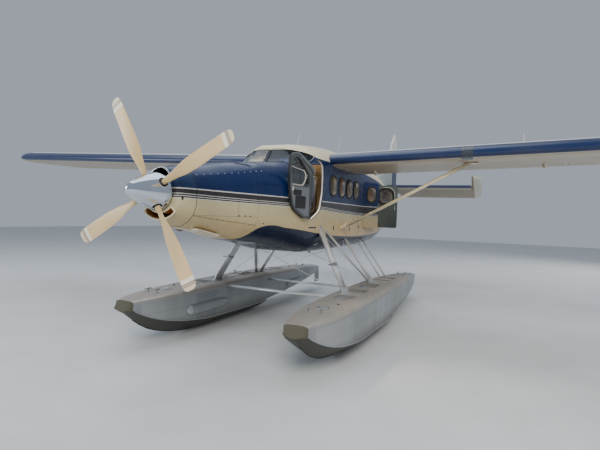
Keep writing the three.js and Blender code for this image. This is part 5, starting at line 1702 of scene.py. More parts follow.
def buildFloatGear():
    for name, bar in bars.items():
        strut = barAlong(f"floatStrut_{name}", place(*bar["from"]), place(footX, bar["foot"], footZ),
                         bar["long"], bar["wide"], 36)
        carve(strut, loft("cut", [skinRing(s, -0.0003) for s in skinStations(3.0, 6.0)]),
              hullSolid((0, 0, 0.0003)))
        bothSides(strut, f"float_strut_{name}", "polishedStrut")
    for name, station, height in (("fore", 3.5, -1.715), ("aft", 5.32, -1.79)):
        ring = lambda x: [place(x, station + 0.06 * math.cos(tau * i / 32),
                                height + 0.024 * math.sin(tau * i / 32)) for i in range(32)]
        bar = loft(f"spreader_{name}", [ring(-1.21), ring(1.21)], bend=50)
        cut = hullSolid((-0.0003, 0, 0))
        carve(bar, mirrored(cut, "cut"), cut)
        dress(bar, "airframe", "polishedStrut", (f"spreader_bar_{name}",))
    rail = lambda t, s: place(0.69 + t * (footX - 0.69), s, -0.64 + t * (-1.69 + 0.64))
    ladder = [tube("rail", [rail(0.01, s), rail(0.995, s)], 0.016, 16) for s in (6.1, 6.54)]
    ladder += [tube("rung", [rail(t, 6.1), rail(t, 6.54)], 0.013, 16) for t in (0.3, 0.5, 0.7, 0.88)]
    whole = joinAll("boardingLadder", ladder)
    carve(whole, loft("cut", [skinRing(s, -0.0003) for s in skinStations(5.5, 7.2)]),
          hullSolid((0, 0, 0.0003)))
    dress(whole, "airframe", "polishedStrut", ("boarding_ladder",))


# Trim that lies on the skin
def skinBand(name, outline, outer, inner, top, foot, side=1, closed=True):
    # A flat band along an outline: outer and inner edges from the outline, top and foot off the skin.
    wide, narrow = offset(outline, outer), offset(outline, inner)
    rings = []
    for (ya, za), (yb, zb) in zip(wide, narrow):
        rings.append([skinPoint(ya, za, top, side), skinPoint(yb, zb, top, side),
                      skinPoint(yb, zb, foot, side), skinPoint(ya, za, foot, side)])
    return loft(name, rings, caps=not closed, closed=closed, bend=50)


def skinPatch(name, outline, top, side=1, foot=-0.004):
    # A thin plate that follows the skin.
    count = len(outline)
    middle = (sum(y for y, z in outline) / count, sum(z for y, z in outline) / count)
    points, faces = [skinPoint(*middle, top, side)], []
    shells = [(0.5, top), (0.94, top), (1.0, top - 0.0015), (1.0, foot)]
    for scale, lift in shells:
        points += [skinPoint(middle[0] + (y - middle[0]) * scale, middle[1] + (z - middle[1]) * scale, lift,
                             side) for y, z in outline]
    faces += [(0, 1 + i, 1 + (i + 1) % count) for i in range(count)]
    faces += [tuple(1 + i for i in face) for face in loftFaces(len(shells), count, caps=False)]
    return newObject(name, points, faces, bend=40)


def oval(station, z, long, tall, count=24):
    return [(station + long * math.cos(tau * k / count),
             z + tall * math.sin(tau * k / count)) for k in range(count)]


def screenLoop(side=1, gap=0.0):
    # The edge of a windshield pane on the skin, closed along the centre post.
    outline = offset(rounded(windshieldCorners, windshieldRounds, 4), gap)
    dense = []
    for (sa, za), (sb, zb) in zip(outline, outline[1:]):
        count = max(1, int(math.hypot(sb - sa, zb - za) / 0.012))
        dense += [(sa + (sb - sa) * k / count, za + (zb - za) * k / count) for k in range(count)]
    topAt = lambda s: float(smoothTable(skinTable, s)[0][1])
    held = [(s, z) for s, z in dense if z < topAt(s) - 0.003]
    loop = [skinPoint(s, z, -0.001, side) for s, z in held]
    for end, order in ((loop[-1], 1), (loop[0], -1)):
        station, wide = end[1] - stationShift, abs(end[0])
        run = [place(side * x, station, topAt(station)) for x in np.linspace(wide - 0.03,
            centrePost - gap, 8)]
        loop = loop + run if order > 0 else run[::-1] + loop
    stations = np.linspace(loop[-1][1] - stationShift, loop[0][1] - stationShift, 12)[1:-1]
    return loop + [place(side * (centrePost - gap), s, topAt(s)) for s in stations]


def onBoth(build):
    return [build(1), build(-1)]


def skinRun(marks, out=0.0, side=1, spacing=0.04):
    # Points on the skin along straight runs between (station, height) marks.
    points = []
    for (sa, za), (sb, zb) in zip(marks, marks[1:]):
        count = max(2, int(math.hypot(sb - sa, zb - za) / spacing) + 1)
        points += [skinPoint(sa + (sb - sa) * k / count, za + (zb - za) * k / count, out,
                             side) for k in range(count)]
    return points + [skinPoint(*marks[-1], out, side)]


cowlLook = {"upperRow": [(0.46, 0.238), (0.88, 0.295), (1.27, 0.342), (1.57, 0.398), (1.74, 0.42)],
            "lowerRow": [(0.42, -0.29), (1.0, -0.35), (1.58, -0.405)],
            "seamRow": [(1.18, -0.09), (1.18, -0.24)],
            "dots": [(1.21, -0.273), (1.33, -0.275), (1.43, -0.276), (1.75, -0.38)],
            "slit": [(1.385, 0.508), (1.47, 0.512), (1.56, 0.502), (1.60, 0.489), (1.585, 0.482),
                     (1.50, 0.492), (1.42, 0.499)],}


def scoopRing(station, wide, top, tall):
    return [place(0.2 + wide * math.cos(a), station,
                  top - tall * (0.5 - 0.5 * math.sin(a))) for a in angles(28)]


def buildCowlTrim():
    rows = [skinRun(cowlLook["upperRow"], 0.001, side) for side in (1, -1)]
    dotsAlong("cowlScrewsUpper", rows, 0.128, 0.0085, "rivetPale", "airframe")
    rows = [skinRun(cowlLook["lowerRow"], 0.001, side) for side in (1, -1)]
    dotsAlong("cowlScrewsLower", rows, 0.1, 0.0075, "rivetDark", "airframe")
    seams = [tube("seam", skinRun(cowlLook[row], 0.0, side), 0.0022, 6) for side in (1,
        -1) for row in ("lowerRow", "seamRow")]
    ring = [skinRing(0.4002, -0.0005)]
    seams.append(tube("seam", ring[0], 0.0035, 6, closed=True))
    together("cowlSeams", seams, "gasketRubber")
    patches = [skinPatch("dot", oval(s, z, 0.011, 0.011, 12), 0.004, side) for side in (1,
        -1) for s, z in cowlLook["dots"]]
    patches += [skinPatch("latch", slot2d(0.187, 0.21, -0.094, -0.056, 0.004), 0.006,
                          side) for side in (1, -1)]
    patches.append(skinPatch("slit", rounded(cowlLook["slit"], 0.006, 3), 0.0035))
    together("cowlLatches", patches, "blackPlastic")
    dress(skinBand("slitRim", rounded(cowlLook["slit"], 0.006, 3), 0.005, 0.0, 0.006, -0.004),
          "airframe", skinPaint)
    low = lambda s: float(smoothTable(skinTable, s)[0][2])
    rings = [scoopRing(s, 0.085, low(s) + 0.02, 0.02 + deep)
             for s, deep in ((0.6, 0.002), (0.72, 0.016), (0.9, 0.032), (1.07, 0.042))]
    vent = loft("chinVent", rings, bend=50)
    dress(vent, "airframe", "creamPaint")
    # A dark plate in the vent's mouth, as painted shade.
    hole = loft("chinVentMouth", [scoopRing(s, 0.07, low(1.07) + 0.012, 0.048) for s in (1.066, 1.0715)])
    dress(hole, "airframe", "ductPaintedShade")
    # The pipe's lip lies square to its way out, given by the two parts of a unit vector.
    radius, across, along = 0.079, 0.6402, 0.7682
    lip = tube("exhaustLip", [place(-0.70 + radius * (math.cos(a) * across),
                                    1.42 + radius * (math.cos(a) * along),
                                    -0.47 + radius * math.sin(a)) for a in angles(32)], 0.0065,
               8, closed=True)
    dress(lip, "airframe", "heatSteel")


def buildBodyTrim():
    ovals = []
    for s, z in ((3.665, -0.457), (4.38, -0.464), (5.43, -0.496), (6.12, -0.455)):
        ovals += onBoth(lambda side: skinPatch("oval", oval(s, z, 0.03, 0.048), 0.003, side))
    ovals += onBoth(lambda side: skinPatch("slot", slot2d(3.1, 3.44, -0.458, -0.436, 0.008), 0.004, side))
    together("fillerCovers", ovals, "blackPlastic")
    rims = []
    for side in (1, -1):
        rims.append(skinBand("seal", cockpitOutline(0.0), 0.006, -0.001, 0.0025, -0.012, side))
        rims.append(tube("seal", screenLoop(side), 0.006, 8, closed=True))
    together("openingSeals", rims, "gasketRubber")
    lines, sink = [], -0.0024
    for side in (1, -1):
        for s in (1.66, 3.84, 4.55, 5.07, 5.6, 6.4, 8.02, 8.6, 9.2):
            top, bottom = smoothTable(skinTable, s)[0][1:3]
            lines.append([skinPoint(s, z, sink, side) for z in np.linspace(bottom + 0.08,
                min(top - 0.12, 0.83), 26)])
        for run in ([(1.7, -0.36), (2.95, -0.36)], [(3.84, -0.36), (6.4, -0.36)],
                    [(3.84, 0.72), (8.0, 0.72)], [(8.1, 0.35), (11.2, 0.45), (12.5, 0.5)]):
            lines.append(skinRun(run, sink, side, 0.1))
    dotsAlong("skinRivets", lines, 0.05, 0.0036, skinPaint, "airframe")
    post = []
    for s in np.linspace(2.80, 3.06, 12):
        top = float(smoothTable(skinTable, s)[0][1])
        post.append([place(x, s, top + lift) for x, lift in ((-0.013, -0.004), (0.013, -0.004),
            (0.011, 0.003), (-0.011, 0.003))])
    dress(loft("screenPost", post, bend=50), "airframe", "blackPlastic")
    masts = []
    for s, lean, tall, foot in ((4.2, 0.1, 0.31, 1.16), (6.56, 0.34, 0.73, 1.15)):
        masts.append(rod("mast", [(0, s, foot), (0, s + lean * 0.5, foot + tall * 0.55),
                                  (0, s + lean, foot + tall)], [0.009, 0.006, 0.0035], 10))
        masts.append(lathe("mastFoot", [(0.0, 0.03), (0.012, 0.03), (0.02, 0.02), (0.045, 0.011)],
                           (0, s, foot + 0.012), "z", 24))
    masts.append(lathe("probe", [(0.0, 0.02), (0.01, 0.02), (0.02, 0.008), (0.06, 0.007)],
                       (0, 3.7, 1.108), "z", 20))
    together("roofAntennas", masts, "antennaGray")
    blade = [prism("bladeAntenna", "x", [(4.9, -0.925), (5.06, -0.925), (5.1, -1.07), (5.03, -1.07)],
                   -0.007, 0.007)]
    dress(bevelEdges(joinAll("bellyAntenna", blade), 0.004), "airframe", "antennaGray")


# Doors: linings, handles and seals
def onDoor(door, part, pieces, finish):
    dress(turnWith(joinAll(f"{door}_{part}", pieces), door), door, finish)


doorLook = {
    "lining": [(3.06, -0.225), (3.235, -0.225), (3.56, -0.09), (3.655, 0.05), (3.66, 0.225), (3.06, 0.225)],
    "pockets": ((3.2, 3.53, -0.11, 0.09, 0.02), (3.34, 3.60, 0.105, 0.19, 0.014)),
    "strap": [(3.69, 0.565, 0), (3.67, 0.555, 0.014), (3.53, 0.54, 0.018), (3.40, 0.535, 0.022),
              (3.31, 0.52, 0.03), (3.255, 0.46, 0.034), (3.262, 0.37, 0.034), (3.31, 0.30, 0.026),
              (3.36, 0.272, 0.012)],
    "grip": ((3.665, 0.0), (3.66, 0.008), (3.645, 0.011), (3.56, 0.011), (3.545, 0.008)),
    "lever": ((-0.02, -0.004), (-0.015, 0.022), (0.02, 0.028), (0.09, 0.028), (0.1, 0.022), (0.105, -0.004)),
    "inner": ((0.0, 0.0), (0.005, 0.026), (0.05, 0.03), (0.12, 0.03), (0.125, 0.0)),
    # name, side, station of the lever, stations of the lining
    "leaves": (("cargo_door_fore", 1, 7.05, (6.56, 7.06)), ("cargo_door_aft", 1, 7.17, (7.16, 7.64)),
               ("cabin_door_starboard", -1, 7.14, (6.56, 7.16))),
}


def buildDoorTrim():
    for name, side in (("cockpit_door_port", 1), ("cockpit_door_starboard", -1)):
        outline, pane = cockpitOutline(-doorGap), paneOutline()
        deep = -shellWall
        rubber = [skinBand("rim", outline, -0.002, -0.036, deep - 0.006, deep + 0.002, side),
                  skinBand("rim", pane, 0.026, -0.003, deep - 0.006, deep + 0.002, side),
                  skinBand("rim", pane, 0.012, -0.002, 0.002, -0.012, side)]
        onDoor(name, "gaskets", rubber, "doorGasket")
        panel = offset(rounded(doorLook["lining"], 0.03), 0)
        lining = skinPatch("lining", panel, deep - 0.004, side, deep + 0.002)
        lining.data.flip_normals()
        onDoor(name, "lining", [lining], "doorLining")
        pockets = []
        for low, high, bottom, top, thick in doorLook["pockets"]:
            rim = slot2d(low, high, bottom, top, 0.02)
            back = [skinPoint(y, z, deep - 0.003, side) for y, z in rim]
            front = [skinPoint(y, z, deep - 0.003 - thick, side) for y, z in offset(rim, -0.004)]
            pockets.append(loft("pocket", [back, front], bend=40))
            rim = slot2d(low + 0.012, high - 0.012, top - 0.02, top - 0.004, 0.007)
            pockets.append(skinBand("pocketRim", rim, 0.004, -0.001, deep - thick - 0.006,
                                    deep - thick, side))
        onDoor(name, "pockets", pockets, "doorPocket")
        # A pull strap from the rear frame, ending in a loop at the sill bar.
        loop = [skinPoint(s, z, deep - d, side) for s, z, d in doorLook["strap"]]
        pale = [tube("strap", loop, [0.006] * 4 + [0.011] * 4 + [0.008], 12),
                tube("sillBar", [skinPoint(s, 0.272, deep - 0.012, side) for s in (3.30, 3.42, 3.53, 3.64)],
                     0.0095, 12), tube("latch", [skinPoint(3.64, z, deep - 0.012, side) for z in (0.235,
            0.2, 0.165)], 0.0105, 12)]
        onDoor(name, "bars", pale, "palePlastic")
        grip = [tube("grip", [skinPoint(s, 0.115, d, side) for s, d in doorLook["grip"]], 0.005, 10),
                skinPatch("plate", slot2d(3.63, 3.69, 0.085, 0.145, 0.015), 0.004, side)]
        onDoor(name, "grip", grip, "chromeRim")
    for name, side, lever, lining in doorLook["leaves"]:
        deep = -shellWall
        panel = slot2d(*lining, -0.42, 0.1, 0.04)
        plate = skinPatch("plate", panel, deep - 0.004, side, deep + 0.002)
        plate.data.flip_normals()
        # The lining's dark colour is painted shade.
        onDoor(name, "lining", [plate], "cargoLiningShaded")
        grip = [tube("grip", [skinPoint(lever, z, d, side) for z, d in doorLook["lever"]], 0.008, 10),
                tube("inner", [skinPoint(lever, z, deep - d, side) for z, d in doorLook["inner"]],
                     0.008, 10)]
        onDoor(name, "grip", grip, "chromeRim")


# Inside the cabin
seatLook = {"x": 0.39, "half": 0.215, "cushion": (3.30, 3.70, -0.135, -0.035), "pressure": 4.0,
            "cap": 0.024, "voxel": 0.006, "frames": 20}


floorTop = -0.4995
panelFace = 2.6403


def puffed(name, points, faces, cap):
    # A soft pad: an even mesh blown up a little by cloth, with a limit on how far a point may move.
    obj = newObject(name, points, faces)
    softMesh = obj.modifiers.new("even", "REMESH")
    softMesh.mode = "VOXEL"
    softMesh.voxel_size = seatLook["voxel"]
    settle(obj)
    smooth = obj.modifiers.new("smooth", "SMOOTH")
    smooth.iterations = 6
    settle(obj)
    before = [v.co.copy() for v in obj.data.vertices]
    cloth = obj.modifiers.new("cloth", "CLOTH")
    look = cloth.settings
    look.use_pressure = True
    look.uniform_pressure_force = seatLook["pressure"]
    look.effector_weights.gravity = 0
    look.quality = 4
    cloth.collision_settings.use_collision = False
    cloth.point_cache.frame_start, cloth.point_cache.frame_end = 1, seatLook["frames"]
    scene = bpy.context.scene
    for step in range(1, seatLook["frames"] + 1):
        scene.frame_set(step)
    settle(obj)
    scene.frame_set(1)
    for vertex, start in zip(obj.data.vertices, before):
        way = vertex.co - start
        if way.length > cap:
            vertex.co = start + way.normalized() * cap
    softenEdges(obj, 80)
    return obj


def padForm(low, high):
    # A rounded block between two corners, drawn as stacked rings.
    (x0, y0, z0), (x1, y1, z1) = low, high
    rings = []
    for t, inset in ((0, 0.03), (0.12, 0.012), (0.3, 0), (0.7, 0), (0.88, 0.012), (1, 0.03)):
        z = z0 + (z1 - z0) * t
        ring = rounded([(x0 + inset, y0 + inset), (x1 - inset, y0 + inset), (x1 - inset, y1 - inset),
                        (x0 + inset, y1 - inset)], 0.05, 5)
        rings.append([(x, y, z) for x, y in ring])
    points = [p for ring in rings for p in ring]
    return points, loftFaces(len(rings), len(rings[0]))


def clothOf(name, color):
    material, tree, shader, spot = startMaterial(name)
    weave = addNode(tree, "ShaderNodeTexWave", wave_type="BANDS", bands_direction="X")
    other = addNode(tree, "ShaderNodeTexWave", wave_type="BANDS", bands_direction="DIAGONAL")
    for node in (weave, other):
        feed(tree, spot, node.inputs["Vector"])
        node.inputs["Scale"].default_value = 260.0
    both = calc(tree, "MULTIPLY", weave.outputs[0], other.outputs[0])
    worn = useGroup(tree, "weather", Vector=spot, Color=color, Amount=0.35, Roughness=0.85, Grain=200.0)
    paint = mixColor(tree, calc(tree, "MULTIPLY", both, 0.35), worn.outputs["Color"],
                     (0.02, 0.025, 0.035, 1))
    feed(tree, paint, shader.inputs["Base Color"])
    feed(tree, worn.outputs["Roughness"], shader.inputs["Roughness"])
    shader.inputs["Sheen Weight"].default_value = 0.3
    bumpInto(tree, shader, calc(tree, "ADD", calc(tree, "MULTIPLY", worn.outputs["Height"], 0.4), both),
             0.4, 0.0015)
    return material


def buildSeats():
    fabric = clothOf("pilotSeatCloth", (0.045, 0.07, 0.13, 1))
    y0, y1, z0, z1 = seatLook["cushion"]
    for side, tag in ((1, "port"), (-1, "starboard")):
        x = side * seatLook["x"]
        half = seatLook["half"]
        low, high = at(x - half, y0, z0), at(x + half, y1, z1)
        points, faces = padForm(low, high)
        cushion = puffed(f"seatCushion_{tag}", points, faces, 0.012)
        # The back pad is drawn upright, then leaned to its frame.
        low, high = at(x - half, 3.70, 0.0), at(x + half, 3.775, 0.54)
        points, faces = padForm(low, high)
        lean = lambda p: (p[0], p[1] + (p[2] - heightShift) * 0.19, p[2])
        back = puffed(f"seatBack_{tag}", [lean(p) for p in points], faces, 0.012)
        dress(cushion, "airframe", fabric, (f"pilot_seat_{tag}",))
        dress(back, "airframe", fabric, ())
        shell = []
        for w in (x - half + 0.02, x + half - 0.02):
            shell.append(rod("frame", [(w, 3.30, -0.15), (w, 3.74, -0.15), (w, 3.80, -0.10),
                                       (w, 3.90, 0.53)], 0.011, 12))
        shell.append(prism("pan", "z", rounded([(x - half, 3.29), (x + half, 3.29), (x + half, 3.75),
            (x - half, 3.75)], 0.04), -0.149, -0.14))
        shell.append(rod("bar", [(x - half + 0.02, 3.90, 0.53), (x + half - 0.02, 3.90, 0.53)], 0.011, 12))
        shell.append(prism("backPan", "x", [(3.795, -0.05), (3.805, -0.05), (3.905, 0.52), (3.897, 0.52)],
                           x - half + 0.03, x + half - 0.03))
        for w in (x - 0.13, x + 0.13):
            shell.append(prism("leg", "x", [(3.40, floorTop), (3.68, floorTop), (3.66, -0.16),
                (3.42, -0.16)], w - 0.01, w + 0.01))
            shell.append(box("rail", (w - 0.016, w + 0.016), (3.39, 3.69), (floorTop, -0.475)))
        together(f"seatFrame_{tag}", shell, "seatFrameGray")
        straps = []
        for w in (x - 0.1, x + 0.1):
            path = [place(w, y, z) for y, z in ((3.93, 0.545), (3.862, 0.575), (3.80, 0.50), (3.735, 0.2),
                                                (3.715, 0.03), (3.64, -0.012))]
            straps.append(loft("strap", [[(x + wide, y - deep, z - deep) for wide, deep in
                                          ((-0.022, 0), (0.022, 0), (0.022, 0.002), (-0.022, 0.002))]
                                         for x, y, z in path], bend=60))
        together(f"seatStraps_{tag}", straps, "strapWeb")


panelLook = {"dials": (0.47, 0.35, 0.235), "screens": (0.45, 0.36, 0.27), "yoke": 0.335,
             "pedals": (0.24, 0.42)}


def buildPanel():
    faces, rims, marks = [], [], []
    for side in (1, -1):
        for row, z in enumerate(panelLook["dials"]):
            for column in range(3 if row < 2 else 2):
                x = side * (0.2 + 0.135 * column)
                rims.append(lathe("rim", [(0.0, 0.056), (0.012, 0.056), (0.012, 0.048), (0.003, 0.047),
                    (0.0, 0.046)], (x, 2.6402, z), "y", 28))
                faces.append(lathe("face", [(0.0, 0.0468), (0.0035, 0.0468), (0.0035, 0.0004)],
                                   (x, panelFace, z), "y", 28))
                marks.append(box("needle", (x - 0.0015, x + 0.0015), (2.6442, 2.6452),
                                 (z - 0.008, z + 0.034)))
    for x in (-0.06, 0.06):
        for z in panelLook["screens"]:
            faces.append(prism("screen", "y", rectangle(x - 0.045, x + 0.045, z - 0.035, z + 0.035),
                               panelFace, 2.646))
    together("dialRims", rims, "blackPlastic")
    together("dialFaces", faces, "dialFace")
    together("dialNeedles", marks, "dialMark")
    yokes = []
    for side in (1, -1):
        x = side * panelLook["yoke"]
        yokes.append(rod("column", [(x, 2.642, 0.16), (x, 2.86, 0.15)], 0.014, 14))
        arc = [math.radians(-230 + 280 * k / 30) for k in range(31)]
        wheel = [place(x + 0.13 * math.cos(a), 2.87, 0.16 + 0.11 * math.sin(a)) for a in arc]
        yokes.append(tube("wheel", wheel, 0.012, 12))
        yokes.append(rod("spoke", [(x - 0.125, 2.87, 0.135), (x + 0.125, 2.87, 0.135)], 0.011, 12))
    for k in range(3):
        x = -0.05 + 0.05 * k
        yokes.append(rod("lever", [(x, 2.642, 0.12), (x, 2.72, 0.15), (x, 2.75, 0.20)], 0.006, 10))
        yokes.append(rod("knob", [(x, 2.748, 0.195), (x, 2.762, 0.225)], 0.014, 14))
    pedestal = prism("pedestal", "x", [(2.45, floorTop), (2.85, floorTop), (2.80, 0.0), (2.66, 0.13),
                                       (2.645, 0.13), (2.645, 0.05), (2.5, 0.05)], -0.11, 0.11)
    yokes.append(pedestal)
    for side in (1, -1):
        for x in panelLook["pedals"]:
            yokes.append(box("pedal", (side * x - 0.045, side * x + 0.045), (2.40, 2.425), (-0.42, -0.24)))
            yokes.append(rod("arm", [(side * x, 2.42, -0.33), (side * x, 2.5, floorTop)], 0.01, 10))
    together("cockpitControls", yokes, "blackPlastic")


# Wing details
def buildLandingLight():
    # A clear cover over a lamp in the port leading edge.
    low, high = 3.23, 3.43
    front = range(24, 38)
    rings = [wingRing(x, margin=0.0015) for x in (low, high)]
    outer = [[ring[i] for i in front] for ring in rings]
    inner = [[(x, y + 0.004, z) for x, y, z in ring] for ring in outer]
    count = len(outer[0])
    faces = []
    for i in range(count - 1):
        for a, b in ((0, 1), (3, 2), (2, 0), (1, 3)):
            faces.append((a * count + i, b * count + i, b * count + i + 1, a * count + i + 1))
    for i in (0, count - 1):
        faces.append(tuple(k * count + i for k in (0, 1, 3, 2)))
    cover = newObject("landingLightCover", outer[0] + outer[1] + inner[0] + inner[1], faces, 50)
    dress(cover, "airframe", glassOf("landingLightGlass", (0.35, 0.4, 0.45, 1)))


wingLook = {"caps": (1.5, 2.6), "tip": 8.78, "rod": (4.24, 4.9), "probe": (6.3, 4.35),
            "strut": (3.433, 4.64)}


def buildWingTrim():
    buildLandingLight()
    for side in (1, -1):
        tag = "port" if side > 0 else "starboard"
        caps = []
        for x in wingLook["caps"]:
            z = topWing(x, 5.0)
            caps.append(lathe("cap", [(0.0, 0.05), (0.006, 0.05), (0.009, 0.044), (0.009, 0.0005)],
                              (side * x, 5.0, z - 0.004), "z", 28))
        together(f"fuelCaps_{tag}", caps, "castFitting")
        tipX = wingLook["tip"]
        light = lathe(f"tipLight_{tag}", [(-0.08, 0.0006), (-0.06, 0.016), (-0.02, 0.026), (0.03, 0.024),
            (0.07, 0.012), (0.085, 0.0006)], (side * tipX, 4.72, wingRise(tipX) + 0.03), "y", 24)
        dress(light, "airframe", "lampRed" if side > 0 else "lampGreen")
        for surface, lift, paint in ((topWing, -0.0022, wingTop), (underWing, 0.0022, shadedWingUnder)):
            spot = lambda x, y: place(side * x, wing["leading"] + y, surface(x, wing["leading"] + y) + lift)
            lines = [[spot(x, y) for x in np.linspace(0.9, 8.35, 16)] for y in (0.3, 0.72, 1.05, 1.36)]
            lines += [[spot(x, y) for y in np.linspace(0.14, 1.40, 16)] for x in np.arange(1.0, 8.3, 1.1)]
            title = "wingTopRivets" if surface is topWing else "wingUnderRivets"
            dotsAlong(f"{title}_{tag}", lines, 0.06, 0.0034, paint, "airframe")
    z = topWing(*wingLook["rod"])
    stub = rod("rod", [(4.24, 4.9, z - 0.002), (4.24, 4.91, z + 0.2), (4.24, 4.97, z + 0.225)],
               [0.009, 0.007, 0.005], 12)
    together("wingTopRod", [stub], "antennaGray")
    z = underWing(*wingLook["probe"])
    probe = rod("probe", [(6.3, 4.35, z + 0.005), (6.3, 4.3, z - 0.12), (6.3, 4.12, z - 0.13)],
                [0.012, 0.009, 0.007], 12)
    together("airspeedProbe", [probe], "antennaGray")
    ends = []
    for side in (1, -1):
        z = underWing(*wingLook["strut"])
        ends.append(lathe("cuff", [(0.0, 0.10), (0.012, 0.098), (0.02, 0.08), (0.026, 0.03)][::-1],
                          (side * 3.40, 4.64, z - 0.024), "z", 28))
        ends.append(barAlong("foot", place(side * 0.795, 4.913, -0.465), place(side * 0.93, 4.90, -0.392),
                             0.21, 0.10, 28))
    together("wingStrutCuffs", ends, "strutCream")


# Float details
floatLook = {"hatches": (2.1, 2.9, 4.3, 6.0, 7.0), "plugs": (2.45, 3.9, 4.75, 6.35, 7.5),
             "cleats": (1.75, 4.6, 7.9)}


def onDeck(x, station, lift=0.0):
    return place(floatMiddle + x, station, floatSize("deck", station) + 0.003 + lift)


def buildFloatTrim():
    hatches, plugs, cleats, walk = [], [], [], []
    for s in floatLook["hatches"]:
        deck = floatSize("deck", s)
        hatches.append(lathe("hatch", [(0.0, 0.105), (0.012, 0.105), (0.016, 0.098), (0.016, 0.0005)],
                             (floatMiddle, s, deck), "z", 40))
        hatches.append(rod("hasp", [(floatMiddle - 0.05, s, deck + 0.018),
                                    (floatMiddle + 0.05, s, deck + 0.018)], 0.006, 10))
    for s in floatLook["plugs"]:
        deck = floatSize("deck", s)
        plugs.append(lathe("plug", [(0.0, 0.022), (0.008, 0.02), (0.016, 0.012), (0.017, 0.0005)],
                           (floatMiddle + 0.12, s, deck), "z", 16))
    for s in floatLook["cleats"]:
        for x in (-0.14, 0.14):
            if s > 7 or s < 2:
                x *= 0.7
            p = Vector(onDeck(x, s))
            cleats.append(tube("post", [p - Vector((0, 0, 0.01)), p + Vector((0, 0, 0.05))], 0.011, 12))
            cleats.append(tube("horns", [p + Vector((0, -0.085, 0.05)), p + Vector((0, -0.04, 0.056)),
                p + Vector((0, 0.04, 0.056)), p + Vector((0, 0.085, 0.05))],
                               [0.006, 0.011, 0.011, 0.006], 12))
    for low, high in ((3.0, 3.3), (3.72, 4.1), (4.45, 5.0), (5.7, 5.85), (6.15, 6.5)):
        walk.append(loft("walk", [[onDeck(x, s, h) for x, h in ((-0.17, 0.001), (0.17, 0.001),
            (0.17, 0.004), (-0.17, 0.004))] for s in np.linspace(low, high, 5)]))
    keel = [place(floatMiddle, s, max(floatSize("keel", s) + 0.004,
                                      0.0165 - heightShift)) for s in np.linspace(1.3, 5.14, 24)]
    strip = tube("keel", keel, 0.016, 10)
    edge = []
    for side in (1, -1):
        edge.append(tube("chine", [place(floatMiddle + side * floatSize("beam", s) * 0.97, s,
            floatSize("chine", s)) for s in np.linspace(1.16, 5.14, 30)], 0.009, 8))
        edge.append(tube("gunwale", [place(floatMiddle + side * floatSize("beam", s), s,
            floatSize("gunwale", s)) for s in np.linspace(1.16, 9.05, 50)], 0.008, 8))
    lines, frames = [], np.arange(1.86, 8.9, 0.62)
    for side in (1, -1):
        stations = np.linspace(1.2, 9.0, 60)
        lines.append([place(floatMiddle + side * floatSize("flat", s), s,
                            floatSize("deck", s)) for s in stations])
        lines.append([place(floatMiddle + side * (floatSize("beam", s) * 0.985), s,
                            floatSize("gunwale", s) - 0.045) for s in stations])
        for s in frames:
            low, high = floatSize("chine", s), floatSize("gunwale", s)
            wide = floatSize("beam", s)
            lines.append([place(floatMiddle + side * (wide * (1 - 0.03 * t) + 0.001), s,
                                high + (low - high) * t) for t in np.linspace(0.06, 0.94, 6)])
    for s in frames:
        lines.append([onDeck(x, s, 0.001) for x in np.linspace(-0.9, 0.9, 6) * floatSize("flat", s)])
    for tag, side in (("port", 1), ("starboard", -1)):
        run = [[(side * x, y, z) for x, y, z in line] for line in lines]
        dotsAlong(f"floatRivets_{tag}", run, 0.055, 0.0042, "rivetAlloy", "airframe")
    for title, pieces, finish in (("floatHatches", hatches, "hatchAlloy"),
                                  ("floatPlugs", plugs, "gasketRubber"),
                                  ("floatCleats", cleats, "castFitting"),
                                  ("floatWalkways", walk, "walkwayGrit"),
                                  ("floatKeelStrip", [strip], "darkFitting"),
                                  ("floatEdges", edge, "hatchAlloy")):
        bothSides(joinAll(title, pieces), None, finish)


gearLook = {
    "clamp": 0.55,  # how far down the front strut its step is clamped
    "wires": (((0.74, 3.78, -0.52), (1.40, 5.36, -1.70)), ((1.40, 3.62, -1.63), (0.72, 5.22, -0.66))),
    "cross": ((3.52, -0.75), (5.33, -0.80)),  # stations and upper heights of the crossed wires
    "pods": ((2.2, 3.56), (6.3, 7.4)),
    "cable": ((7.0, 1.0), (8.0, 0.9), (9.05, 0.6)),
    "tiller": (9.165, -1.832),
}


